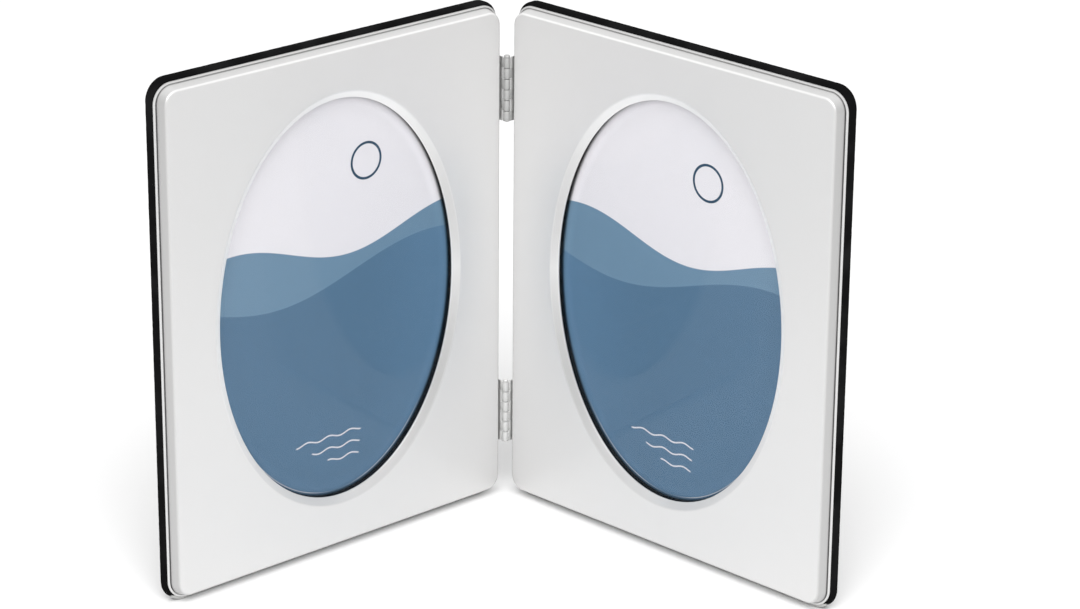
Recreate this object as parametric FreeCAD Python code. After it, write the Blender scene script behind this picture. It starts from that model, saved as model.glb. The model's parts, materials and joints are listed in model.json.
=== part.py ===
import FreeCAD, Part
import math
import os

# Hinged double photo frame: two upright panels with oval openings, joined by two butt hinges.
# Millimetres. +Z is up, +X is to the viewer's right and -Y is towards the viewer, who stands in front
# of the open faces. The origin is the middle of the footprint, on the surface that the frame stands on.
# A panel is drawn in its own coordinates first: X from its hinge-side edge outwards, Y from its front
# face backwards, Z up from its foot.

# Printed picture
print_width = 100.0
print_height = 150.0
print_thickness = 0.25

# Panel outline around the picture
side_margin = 20.0
end_margin = 12.5
outline_radius = 7.0

# Oval opening, by how far the plate covers the picture at its widest and at its ends
opening_side_cover = 1.85
opening_end_cover = 6.8

# Pressed front plate, smaller all round than the board behind it
plate_side_inset = 0.5
plate_end_inset = 1.25
sheet_thickness = 0.6
plate_depth = 4.2
lip_thickness = 0.7
lip_width = 0.65
crease_width = 0.25
crease_depth = 0.3
bevel_run = 0.85
shoulder_radius = 0.8
rim_width = 2.4
rim_depth = 1.5
rim_edge_radius = 1.6

# Glass, glazing frame and pressure card
glass_thickness = 2.0
glass_corner = 0.6
glass_play = 0.5
rebate_corner = 1.2
glazing_play = 0.3
glazing_oval_play = 0.3
card_thickness = 1.0
card_corner = 1.2
card_play = 0.75

# Velvet-covered back surround and the back panel in its window
board_thickness = 3.5
board_edge_radius = 0.7
window_growth = 2.0
window_radius = 2.5
panel_play = 0.5
panel_edge_radius = 0.4

# Turn-buttons that hold the back panel
button_width = 6.0
button_reach = 11.5
button_thickness = 0.7
button_rib_height = 0.35
button_rib_inset = 1.6
button_standoff = 0.15
button_pivot_inset = 6.0
button_spread_share = 0.3

# Rivets that the turn-buttons pivot on
rivet_radius = 0.9
rivet_head_radius = 1.9
rivet_head_height = 0.7
rivet_head_round = 0.45
rivet_bite = 2.4

# Hinges
opening_angle = 94.3
axis_lead = 0.25
axis_setback = 0.5
pin_radius = 0.65
leaf_thickness = 0.52
hinge_height = 22.0
hinge_end_inset = 19.2
knuckle_pairs = 3
knuckle_gap = 0.12
notch_play = 0.2
leaf_back_inset = 0.3
leaf_corner_radius = 0.8
pin_head_radius = 1.0
pin_head_height = 0.8
pin_head_round = 0.5
pin_tail = 0.25

# Countersunk screws that hold the hinge leaves
screw_radius = 0.6
screw_head_radius = 1.15
screw_head_depth = 0.45
screw_length = 5.0
screw_end_inset = 4.8
screw_slot_width = 0.3
screw_slot_depth = 0.2

# Clearances: running for what turns on a pin, fixed for what is pressed or screwed in place
running_clearance = 0.05
fixed_clearance = 0.03

# Every cut runs past the faces it goes through by this much
overrun = 1.0

# An edge counts as lying at a place when it is this close to it
near = 0.02

# Sizes that follow from those above
panel_width = print_width + 2 * side_margin
panel_height = print_height + 2 * end_margin
mid_height = panel_height / 2
opening_half_width = print_width / 2 - opening_side_cover
opening_half_height = print_height / 2 - opening_end_cover
lip_front = plate_depth - lip_thickness
bevel_foot = lip_width + crease_width
glass_front = rim_depth + sheet_thickness
glass_back = glass_front + glass_thickness
print_back = glass_back + print_thickness
card_back = print_back + card_thickness
panel_back = plate_depth + board_thickness
fold_half_angle = (180 - opening_angle) / 2
barrel_radius = pin_radius + running_clearance + leaf_thickness
notch_reach = barrel_radius + notch_play
leaf_outer = axis_setback + plate_side_inset - fixed_clearance
leaf_inner = leaf_outer - leaf_thickness
knuckle_pitch = hinge_height / (2 * knuckle_pairs)
upper_hinge_foot = panel_height - hinge_end_inset - hinge_height


def outline_wire(half_width, half_height, corner, depth):
    """Rounded rectangle about the panel's middle, at one depth behind the front face."""
    middle = FreeCAD.Vector(panel_width / 2, depth, mid_height)
    corner_dip = corner * (1 - math.sqrt(0.5))

    def corner_arc(sx, sz):
        """Three points of one corner, in the order that goes round the outline."""
        on_side = middle + FreeCAD.Vector(sx * half_width, 0, sz * (half_height - corner))
        between = middle + FreeCAD.Vector(sx * (half_width - corner_dip), 0, sz * (half_height - corner_dip))
        on_end = middle + FreeCAD.Vector(sx * (half_width - corner), 0, sz * half_height)
        return (on_side, between, on_end) if sx == sz else (on_end, between, on_side)

    arcs = [corner_arc(sx, sz) for sx, sz in ((1, -1), (1, 1), (-1, 1), (-1, -1))]
    edges = []
    for arc, following in zip(arcs, arcs[1:] + arcs[:1]):
        edges.append(Part.Arc(*arc).toShape())
        edges.append(Part.LineSegment(arc[2], following[0]).toShape())
    return Part.Wire(edges)


def prism(wire, depth):
    """Solid from a wire that lies across Y, drawn backwards by a depth."""
    return Part.Face(wire).extrude(FreeCAD.Vector(0, depth, 0))


def panel_outline(inset, depth):
    """Wire of the panel's outline, drawn in by an inset."""
    return outline_wire(panel_width / 2 - inset, panel_height / 2 - inset, outline_radius - inset, depth)


def panel_slab(inset, front, back):
    """Flat slab of the panel's outline between two depths."""
    return prism(panel_outline(inset, front), back - front)


def plate_outline(inset, depth):
    """Wire of the plate's outline, drawn in by an inset."""
    half_width = panel_width / 2 - plate_side_inset - inset
    half_height = panel_height / 2 - plate_end_inset - inset
    return outline_wire(half_width, half_height, outline_radius - plate_side_inset - inset, depth)


def plate_slab(inset, front, back):
    """Flat slab of the plate's outline between two depths."""
    return prism(plate_outline(inset, front), back - front)


def plate_taper(front_inset, front, back_inset, back):
    """Slab of the plate's outline whose sides slope from one inset to another."""
    wires = [plate_outline(front_inset, front), plate_outline(back_inset, back)]
    return Part.makeLoft(wires, True, True)


def print_slab(growth, corner, front, back):
    """Slab of the picture's size, grown on every side."""
    wire = outline_wire(print_width / 2 + growth, print_height / 2 + growth, corner, front)
    return prism(wire, back - front)


def oval_wire(growth, depth):
    """Ellipse of the opening, grown all round, at one depth."""
    middle = FreeCAD.Vector(panel_width / 2, depth, mid_height)
    tall = middle + FreeCAD.Vector(0, 0, opening_half_height + growth)
    wide = middle + FreeCAD.Vector(opening_half_width + growth, 0, 0)
    return Part.Wire(Part.Ellipse(tall, wide, middle).toShape())


def oval_slab(growth, front, back):
    """Elliptical plug between two depths."""
    return prism(oval_wire(growth, front), back - front)


def oval_taper(front_growth, front, back_growth, back):
    """Elliptical plug whose side slopes from one size to another."""
    return Part.makeLoft([oval_wire(front_growth, front), oval_wire(back_growth, back)], True, True)


def edges_at_depth(shape, depth):
    """Edges that lie wholly at one depth."""
    return [edge for edge in shape.Edges
            if abs(edge.BoundBox.YMin - depth) < near and abs(edge.BoundBox.YMax - depth) < near]


# Front plate


def bevel_inset(depth):
    """Inset of the skirt's outer face at a depth between the front face and the lip."""
    return bevel_foot + bevel_run * (lip_front - depth) / lip_front


def skirt_hollow(play, front, back):
    """Space inside the skirt, from behind the face to a depth, drawn in by a play."""
    wall = play + sheet_thickness * math.hypot(bevel_run, lip_front) / lip_front
    hollow = plate_taper(bevel_inset(front) + wall, front, bevel_foot + wall, lip_front)
    return hollow.fuse(plate_slab(bevel_foot + wall, lip_front, back))


def make_front_plate():
    """Pressed plate: face, shoulder, skirt, crease, lip and the coined rim of the oval."""
    body = plate_taper(bevel_inset(0), 0, bevel_foot, lip_front)
    body = body.makeFillet(shoulder_radius, edges_at_depth(body, 0))
    body = body.fuse(plate_slab(0, lip_front, plate_depth))
    crease = plate_slab(lip_width, lip_front, lip_front + crease_depth)
    body = body.cut(crease.cut(plate_slab(bevel_foot, lip_front, lip_front + crease_depth)))
    body = body.cut(skirt_hollow(0, sheet_thickness, plate_depth + overrun))
    body = body.cut(oval_slab(rim_width, -overrun, sheet_thickness + overrun))
    rim = oval_slab(rim_width, 0, sheet_thickness)
    rim = rim.fuse(oval_taper(rim_width, sheet_thickness, 0, glass_front))
    rim = rim.cut(oval_taper(rim_width, 0, 0, rim_depth))
    rim = rim.cut(oval_slab(0, rim_depth, glass_front))
    body = body.fuse(rim).removeSplitter()
    rim_edges = [edge for edge in edges_at_depth(body, 0)
                 if abs(edge.BoundBox.ZMax - mid_height - opening_half_height - rim_width) < near]
    return body.makeFillet(rim_edge_radius, rim_edges)


# Pieces inside the panel


def make_glass():
    """Flat pane that lies in the glazing frame's rebate."""
    return print_slab(0, glass_corner, glass_front, glass_back)


def make_print():
    """Printed paper against the back of the glass."""
    return print_slab(0, glass_corner, glass_back, print_back)


def make_glazing_frame():
    """Board inside the plate, with an oval sight hole in front and the glass's rebate behind."""
    frame = skirt_hollow(glazing_play, sheet_thickness, plate_depth)
    frame = frame.cut(oval_slab(rim_width + glazing_oval_play, 0, glass_front))
    rebate = print_slab(glass_play, rebate_corner, glass_front, plate_depth + overrun)
    return frame.cut(rebate).removeSplitter()


def make_pressure_card():
    """Card behind the print."""
    return print_slab(window_growth - card_play, card_corner, print_back, card_back)


def leaf_recess(foot):
    """Space that a hinge leaf is let into in the board's edge."""
    height = hinge_height + 2 * fixed_clearance
    back = leaf_foot_depth() - axis_lead + fixed_clearance
    corner = FreeCAD.Vector(-overrun, plate_depth - overrun, foot - fixed_clearance)
    recess = Part.makeBox(plate_side_inset + overrun, back - plate_depth + overrun, height, corner)
    back_edges = [edge for edge in recess.Edges
                  if edge.BoundBox.YMin > back - near and edge.BoundBox.ZLength < near]
    return recess.makeFillet(leaf_corner_radius + fixed_clearance, back_edges)


def make_back_surround():
    """Velvet-covered board with the window that the back panel closes."""
    board = panel_slab(0, plate_depth, panel_back)
    board = board.makeFillet(board_edge_radius, edges_at_depth(board, panel_back))
    window = print_slab(window_growth, window_radius, plate_depth - overrun, panel_back + overrun)
    board = board.cut(window)
    for x, z, sign in button_places():
        hole = depth_cylinder(rivet_radius + fixed_clearance, x, z, panel_back - rivet_bite,
                              panel_back + overrun)
        board = board.cut(hole)
    hole_end = leaf_outer - axis_setback + screw_length
    for foot in (hinge_end_inset, upper_hinge_foot):
        board = board.cut(leaf_recess(foot))
        for z in screw_heights(foot):
            hole = Part.makeCylinder(screw_radius + fixed_clearance, hole_end + overrun,
                                     FreeCAD.Vector(-overrun, screw_depth(), z),
                                     FreeCAD.Vector(1, 0, 0))
            board = board.cut(hole)
    return board


def make_back_panel():
    """Velvet-covered board that lies in the surround's window, flush with its back."""
    growth = window_growth - panel_play
    board = print_slab(growth, window_radius - panel_play, card_back, panel_back)
    return board.makeFillet(panel_edge_radius, edges_at_depth(board, panel_back))


# Turn-buttons and their rivets


def depth_cylinder(radius, x, z, front, back):
    """Cylinder along the panel's depth."""
    return Part.makeCylinder(radius, back - front, FreeCAD.Vector(x, front, z), FreeCAD.Vector(0, 1, 0))


def button_places():
    """Pivot places of the turn-buttons, with the way each one points at rest."""
    inset = side_margin - window_growth - button_pivot_inset
    spread = button_spread_share * print_height
    places = []
    for height in (mid_height + spread, mid_height - spread):
        places.append((inset, height, 1))
        places.append((panel_width - inset, height, -1))
    return places


def stadium(x, z, sign, radius, reach, front, back):
    """Round-ended bar that starts about a pivot and reaches sideways."""
    far = x + sign * (reach - radius)
    low = min(x, far)
    bar = Part.makeBox(abs(far - x), back - front, 2 * radius, FreeCAD.Vector(low, front, z - radius))
    bar = bar.fuse(depth_cylinder(radius, x, z, front, back))
    return bar.fuse(depth_cylinder(radius, far, z, front, back)).removeSplitter()


def make_turn_button(x, z, sign):
    """Pressed bar with a raised rib and a hole for its rivet."""
    front = panel_back + button_standoff
    top = front + button_thickness
    half_width = button_width / 2
    bar = stadium(x, z, sign, half_width, button_reach, front, top)
    rib_start = x + sign * (rivet_head_radius + button_rib_inset)
    rib_radius = half_width - button_rib_inset
    rib_reach = button_reach - rivet_head_radius - 2 * button_rib_inset
    rib = stadium(rib_start, z, sign, rib_radius, rib_reach, top - button_thickness / 2,
                  top + button_rib_height)
    bar = bar.fuse(rib)
    hole = depth_cylinder(rivet_radius + running_clearance, x, z, front - overrun, top + overrun)
    return bar.cut(hole)


def make_button_rivets():
    """Four domed rivets, one through each turn-button."""
    rivets = []
    seat = panel_back + button_standoff + button_thickness + running_clearance
    for x, z, sign in button_places():
        shank = depth_cylinder(rivet_radius, x, z, panel_back - rivet_bite, seat)
        head = depth_cylinder(rivet_head_radius, x, z, seat, seat + rivet_head_height)
        head = head.makeFillet(rivet_head_round, edges_at_depth(head, seat + rivet_head_height))
        rivets.append(shank.fuse(head))
    return Part.makeCompound(rivets)


# Hinges, drawn about the hinge axis: X outwards from it, Y backwards from it


def leaf_foot_depth():
    """Depth of the hinge leaf's back edge behind the axis."""
    return axis_lead + panel_back - leaf_back_inset


def screw_depth():
    """Depth of the screws behind the front face: the middle of the board's edge."""
    return plate_depth + board_thickness / 2


def screw_heights(foot):
    """Heights of the two screws of a hinge leaf."""
    return (foot + screw_end_inset, foot + hinge_height - screw_end_inset)


def knuckle_span(foot, row):
    """Lowest and highest point of a knuckle, counted from the hinge's foot."""
    low = foot + row * knuckle_pitch + knuckle_gap / 2
    high = foot + (row + 1) * knuckle_pitch - knuckle_gap / 2
    return low, high


def make_hinge_leaf(foot):
    """Right-hand leaf: a plate let into the board's edge, cranked out to its three rolled knuckles."""
    plate = Part.makeBox(leaf_thickness, leaf_foot_depth() - notch_reach, hinge_height,
                         FreeCAD.Vector(leaf_inner, notch_reach, foot))
    back_edges = [edge for edge in plate.Edges
                  if edge.BoundBox.YMin > leaf_foot_depth() - near and edge.BoundBox.ZLength < near]
    plate = plate.makeFillet(leaf_corner_radius, back_edges)
    for row in range(0, 2 * knuckle_pairs, 2):
        low, high = knuckle_span(foot, row)
        barrel = Part.makeCylinder(barrel_radius, high - low, FreeCAD.Vector(0, 0, low))
        corners = [(barrel_radius - leaf_thickness, 0), (barrel_radius, 0),
                   (leaf_outer, notch_reach), (leaf_outer, notch_reach + leaf_thickness),
                   (leaf_inner, notch_reach + leaf_thickness), (leaf_inner, notch_reach)]
        points = [FreeCAD.Vector(x, y, low) for x, y in corners]
        web = Part.Face(Part.makePolygon(points + points[:1])).extrude(FreeCAD.Vector(0, 0, high - low))
        plate = plate.fuse(barrel).fuse(web)
    bore = Part.makeCylinder(pin_radius + running_clearance, hinge_height + 2 * overrun,
                             FreeCAD.Vector(0, 0, foot - overrun))
    plate = plate.cut(bore)
    for z in screw_heights(foot):
        plate = plate.cut(make_screw(z, fixed_clearance, False))
    return plate.removeSplitter()


def make_screw(z, growth, slotted):
    """Countersunk screw, head flush with the leaf and pointing outwards into the board."""
    depth = axis_lead + screw_depth()
    centre = FreeCAD.Vector(leaf_inner, depth, z)
    along = FreeCAD.Vector(1, 0, 0)
    head = Part.makeCone(screw_head_radius + growth, screw_radius + growth, screw_head_depth, centre, along)
    shank = Part.makeCylinder(screw_radius + growth, screw_length + leaf_thickness, centre, along)
    screw = head.fuse(shank)
    if slotted:
        corner = FreeCAD.Vector(leaf_inner - overrun, depth - screw_head_radius - overrun,
                                z - screw_slot_width / 2)
        slot = Part.makeBox(screw_slot_depth + overrun, 2 * (screw_head_radius + overrun),
                            screw_slot_width, corner)
        screw = screw.cut(slot)
    return screw


def make_hinge_screws():
    """Screws of both hinge leaves of one panel."""
    screws = []
    for foot in (hinge_end_inset, upper_hinge_foot):
        for z in screw_heights(foot):
            screws.append(make_screw(z, 0, True))
    return Part.makeCompound(screws)


def make_hinge_pin(foot):
    """Pin with a domed head that stands on the top knuckle."""
    top = foot + hinge_height
    shank = Part.makeCylinder(pin_radius, hinge_height + pin_tail, FreeCAD.Vector(0, 0, foot - pin_tail))
    head = Part.makeCylinder(pin_head_radius, pin_head_height, FreeCAD.Vector(0, 0, top))
    rim = [edge for edge in head.Edges if edge.BoundBox.ZMin > top + pin_head_height / 2]
    return shank.fuse(head.makeFillet(pin_head_round, rim))


# Placing the two panels


def on_axis(shape):
    """Moves a shape from the panel's own coordinates to the hinge axis."""
    return shape.translated(FreeCAD.Vector(axis_setback, axis_lead, 0))


def turned(shape):
    """Swings a right-hand shape from straight to its opening angle."""
    return shape.rotated(FreeCAD.Vector(0, 0, 0), FreeCAD.Vector(0, 0, 1), -fold_half_angle)


def turned_over(shape):
    """Gives the left-hand copy: the panel is the same both ways up."""
    return shape.rotated(FreeCAD.Vector(0, 0, mid_height), FreeCAD.Vector(0, 1, 0), 180)


def panel_pieces():
    """Every piece of the right-hand panel, on the hinge axis and not yet swung."""
    pieces = {
        "front_plate": on_axis(make_front_plate()),
        "glass": on_axis(make_glass()),
        "picture_print": on_axis(make_print()),
        "glazing_frame": on_axis(make_glazing_frame()),
        "pressure_card": on_axis(make_pressure_card()),
        "back_surround": on_axis(make_back_surround()),
        "back_panel": on_axis(make_back_panel()),
        "button_rivets": on_axis(make_button_rivets()),
        "lower_hinge_leaf": make_hinge_leaf(hinge_end_inset),
        "upper_hinge_leaf": make_hinge_leaf(upper_hinge_foot),
        "hinge_screws": make_hinge_screws(),
    }
    for (x, z, sign), place in zip(button_places(), button_names):
        pieces["turn_button_" + place] = on_axis(make_turn_button(x, z, sign))
    return pieces


# The turned-over panel swaps upper and lower, so its pieces swap those words too
button_names = ("upper_inner", "upper_outer", "lower_inner", "lower_outer")
swapped_words = {"upper": "lower", "lower": "upper"}


def left_name(name):
    """Name of a piece after the panel is turned over."""
    return "_".join(swapped_words.get(word, word) for word in name.split("_"))


def build():
    """Builds every node, with the footprint's middle at the origin."""
    nodes = {}
    for name, shape in panel_pieces().items():
        nodes["right_" + name] = turned(shape)
        nodes["left_" + left_name(name)] = turned_over(turned(shape))
    nodes["lower_hinge_pin"] = make_hinge_pin(hinge_end_inset)
    nodes["upper_hinge_pin"] = make_hinge_pin(upper_hinge_foot)
    box = Part.makeCompound(list(nodes.values())).optimalBoundingBox()
    shift = FreeCAD.Vector(0, -(box.YMin + box.YMax) / 2, 0)
    print("fold axis at y =", round(shift.y, 4))
    return {name: shape.translated(shift) for name, shape in nodes.items()}


os.makedirs("parts", exist_ok=True)
for node_name, node_shape in build().items():
    node_shape.exportStep("parts/" + node_name + ".step")
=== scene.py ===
"""Looks of the hinged double photo frame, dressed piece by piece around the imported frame.

Lengths are in metres and places are in the row frame unless a name says otherwise. Panel coordinates are
measured from the fold axis: outwards along the panel, backwards from the viewer, and up.
"""

import json
import logging
import math
from dataclasses import dataclass, field
from enum import Enum
from typing import Any, Iterable, Sequence, Union

import bmesh
import bpy
from mathutils import Matrix, Vector, noise


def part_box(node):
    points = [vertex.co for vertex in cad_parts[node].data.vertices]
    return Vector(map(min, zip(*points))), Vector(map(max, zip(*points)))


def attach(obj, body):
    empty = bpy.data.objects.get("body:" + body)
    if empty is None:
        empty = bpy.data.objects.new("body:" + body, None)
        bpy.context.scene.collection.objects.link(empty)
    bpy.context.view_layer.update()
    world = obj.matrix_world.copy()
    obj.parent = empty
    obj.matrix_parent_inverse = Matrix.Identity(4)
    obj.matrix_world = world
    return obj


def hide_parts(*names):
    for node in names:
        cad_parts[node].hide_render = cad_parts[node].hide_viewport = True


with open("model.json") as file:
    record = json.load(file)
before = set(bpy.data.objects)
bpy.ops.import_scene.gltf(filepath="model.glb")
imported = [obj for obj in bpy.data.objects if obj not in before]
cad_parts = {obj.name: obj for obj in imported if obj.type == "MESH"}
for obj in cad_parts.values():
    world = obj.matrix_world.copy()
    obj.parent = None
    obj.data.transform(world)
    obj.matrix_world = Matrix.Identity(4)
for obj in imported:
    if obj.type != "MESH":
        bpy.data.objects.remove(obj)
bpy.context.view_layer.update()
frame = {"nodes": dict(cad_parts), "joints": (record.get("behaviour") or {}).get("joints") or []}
MM = 0.001
UP = Vector((0.0, 0.0, 1.0))
PILE_SEED = 7
BLACK = (0.0, 0.0, 0.0)
OCTAVE_SHARE = 0.55
MERGE = 0.002 * MM
log = logging.getLogger("photo_frame")


class Side(Enum):
    """The two panels, named as the viewer sees them."""

    LEFT = "left"
    RIGHT = "right"


class End(Enum):
    """Upper and lower, of the hinges and of the turn-buttons."""

    UPPER = "upper"
    LOWER = "lower"


class Way(Enum):
    """The turn-buttons near the fold and away from it."""

    INNER = "inner"
    OUTER = "outer"


class Detail(Enum):
    """How many finer octaves a noise has."""

    SOFT = 2.0
    MEDIUM = 3.0
    FINE = 4.0


Number = Union[float, "Field"]


class Field:
    """A number or colour that varies over a surface, written with Python's own operators."""

    def __init__(self, shader: "Shader", socket: bpy.types.NodeSocket) -> None:
        """Wraps one output socket.

        Args:
            shader: The shader whose tree holds the socket.
            socket: The output that gives the number or colour.
        """
        self.shader = shader
        self.socket = socket

    def __add__(self, other: Number) -> "Field":
        """Sum of two numbers."""
        return self.shader.maths("ADD", self, other)

    def __radd__(self, other: Number) -> "Field":
        """Sum with a plain number in front."""
        return self.shader.maths("ADD", other, self)

    def __sub__(self, other: Number) -> "Field":
        """Difference of two numbers."""
        return self.shader.maths("SUBTRACT", self, other)

    def __rsub__(self, other: Number) -> "Field":
        """Difference with a plain number in front."""
        return self.shader.maths("SUBTRACT", other, self)

    def __mul__(self, other: Number) -> "Field":
        """Product of two numbers."""
        return self.shader.maths("MULTIPLY", self, other)

    def __rmul__(self, other: Number) -> "Field":
        """Product with a plain number in front."""
        return self.shader.maths("MULTIPLY", other, self)

    def __truediv__(self, other: Number) -> "Field":
        """Quotient of two numbers."""
        return self.shader.maths("DIVIDE", self, other)

    def __pow__(self, other: Number) -> "Field":
        """Power of a number."""
        return self.shader.maths("POWER", self, other)

    def sine(self) -> "Field":
        """Sine of an angle in radians."""
        return self.shader.maths("SINE", self)

    def size(self) -> "Field":
        """The number without its sign."""
        return self.shader.maths("ABSOLUTE", self)

    def root(self) -> "Field":
        """Square root."""
        return self.shader.maths("SQRT", self)

    def either(self, other: "Field") -> "Field":
        """The larger of two masks."""
        return self.shader.maths("MAXIMUM", self, other)

    def step(self, low: float, high: float) -> "Field":
        """Smooth step from 0 at low to 1 at high; low may be the larger.

        Args:
            low: Where the step starts.
            high: Where the step ends.

        Returns:
            The stepped number, from 0 to 1.
        """
        ends = {"From Min": min(low, high), "From Max": max(low, high)}
        if low > high:
            ends.update({"To Min": 1.0, "To Max": 0.0})
        made = self.shader.node(
            "ShaderNodeMapRange", {"interpolation_type": "SMOOTHSTEP"}, {"Value": self, **ends})
        return Field(self.shader, made.outputs["Result"])


class Tree:
    """A node tree, with a single method that makes any node."""

    def __init__(self, tree: bpy.types.NodeTree) -> None:
        """Wraps a tree."""
        self.tree = tree

    def node(self, kind: str, settings: dict[str, Any] | None = None,
             inputs: dict[str | int, Any] | None = None) -> bpy.types.Node:
        """Adds a node, sets it up and feeds its sockets.

        Args:
            kind: The node's type.
            settings: Properties that are set first.
            inputs: Values, fields or sockets by socket name or number.

        Returns:
            The node.
        """
        made = self.tree.nodes.new(kind)
        for key, value in (settings or {}).items():
            setattr(made, key, value)
        for key, value in (inputs or {}).items():
            if isinstance(value, Field):
                value = value.socket
            if isinstance(value, bpy.types.NodeSocket):
                self.tree.links.new(value, made.inputs[key])
            else:
                made.inputs[key].default_value = value
        return made


class Shader(Tree):
    """One material's node tree."""

    def __init__(self, name: str) -> None:
        """Starts an empty material.

        Args:
            name: The material's name.
        """
        self.material = bpy.data.materials.new(name)
        self.material.use_nodes = True
        super().__init__(self.material.node_tree)
        self.tree.nodes.clear()
        self.place = Field(self, self.node("ShaderNodeTexCoord").outputs["Object"])

    def maths(self, operation: str, *values: Number) -> Field:
        """One Math node on numbers or fields."""
        made = self.node("ShaderNodeMath", {"operation": operation}, dict(enumerate(values)))
        return Field(self, made.outputs[0])

    def along(self, direction: Sequence[float], start: Sequence[float] = (0, 0, 0)) -> Field:
        """Distance of the surface point from a start, measured along a direction.

        Args:
            direction: Unit vector.
            start: Point that counts as zero.

        Returns:
            The distance in metres.
        """
        made = self.node("ShaderNodeVectorMath", {"operation": "DOT_PRODUCT"},
                         {0: self.place, 1: tuple(direction)})
        return Field(self, made.outputs["Value"]) - Vector(start).dot(Vector(direction))

    def grain(self, size: float, detail: Detail = Detail.MEDIUM,
              stretch: Sequence[float] = (1, 1, 1)) -> Field:
        """Noise from 0 to 1 whose blotches are about one size.

        Args:
            size: Blotch size in metres.
            detail: How fine the noise is.
            stretch: Factors by which the noise is squeezed along X, Y and Z.

        Returns:
            The noise.
        """
        scaled = self.node("ShaderNodeVectorMath", {"operation": "MULTIPLY"},
                           {0: self.place, 1: tuple(factor / size for factor in stretch)})
        made = self.node("ShaderNodeTexNoise", {}, {
            "Vector": scaled.outputs[0], "Scale": 1.0, "Detail": detail.value, "Roughness": OCTAVE_SHARE})
        return Field(self, made.outputs["Fac"])

    def attribute(self, name: str) -> Field:
        """A number stored on the mesh."""
        return Field(self, self.node("ShaderNodeAttribute", {"attribute_name": name}).outputs["Fac"])

    def sheet_place(self) -> tuple[Field, Field]:
        """Place on a printed sheet, from its own map.

        Returns:
            Metres across and metres up.
        """
        uv = self.node("ShaderNodeUVMap", {"uv_map": "sheet"})
        split = self.node("ShaderNodeSeparateXYZ", {}, {0: uv.outputs[0]})
        return Field(self, split.outputs["X"]), Field(self, split.outputs["Y"])

    def blend(self, share: Number, first: Any, second: Any) -> Field:
        """Mixes two colours.

        Args:
            share: How much of the second colour shows, from 0 to 1.
            first: Colour where share is 0.
            second: Colour where share is 1.

        Returns:
            The mixed colour.
        """
        made = self.node("ShaderNodeMix", {"data_type": "RGBA"},
                         {0: share, 6: opaque(first), 7: opaque(second)})
        return Field(self, made.outputs[2])

    def scaled(self, colour: Field, factor: Number) -> Field:
        """Makes a colour brighter or darker by a factor."""
        made = self.node("ShaderNodeVectorMath", {"operation": "SCALE"}, {0: colour, "Scale": factor})
        return Field(self, made.outputs[0])

    def bump(self, height: Field, strength: float, distance: float) -> Field:
        """Normal that a height field raises."""
        made = self.node("ShaderNodeBump", {}, {"Height": height, "Strength": strength, "Distance": distance})
        return Field(self, made.outputs["Normal"])

    def principled(self, **sockets: Any) -> bpy.types.Node:
        """Principled surface.

        Args:
            sockets: Values or fields by socket name, with underscores for spaces.

        Returns:
            The node.
        """
        inputs = {name.replace("_", " "): value for name, value in sockets.items()}
        if not isinstance(inputs.get("Base Color"), Field):
            inputs["Base Color"] = opaque(inputs["Base Color"])
        return self.node("ShaderNodeBsdfPrincipled", {}, inputs)

    def surface(self, socket: bpy.types.NodeSocket) -> bpy.types.Material:
        """Joins a shader to the output and gives the finished material."""
        self.node("ShaderNodeOutputMaterial", {}, {"Surface": socket})
        return self.material


def opaque(colour: Any) -> Any:
    """Gives a plain colour its alpha.

    Args:
        colour: Three or four shares, a field or a socket.

    Returns:
        The colour with its alpha, or whatever is linked as it is.
    """
    if isinstance(colour, (Field, bpy.types.NodeSocket)):
        return colour
    return (*colour, 1.0) if len(colour) == 3 else colour


def screen(red: int, green: int, blue: int) -> tuple[float, float, float]:
    """Linear colour of a screen colour, by the usual sRGB curve.

    Args:
        red: Red from 0 to 255.
        green: Green from 0 to 255.
        blue: Blue from 0 to 255.

    Returns:
        The linear shares.
    """
    def linear(level: int) -> float:
        """Linear share of one channel."""
        share = level / 255
        return share / 12.92 if share <= 0.04045 else ((share + 0.055) / 1.055) ** 2.4
    return linear(red), linear(green), linear(blue)


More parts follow.
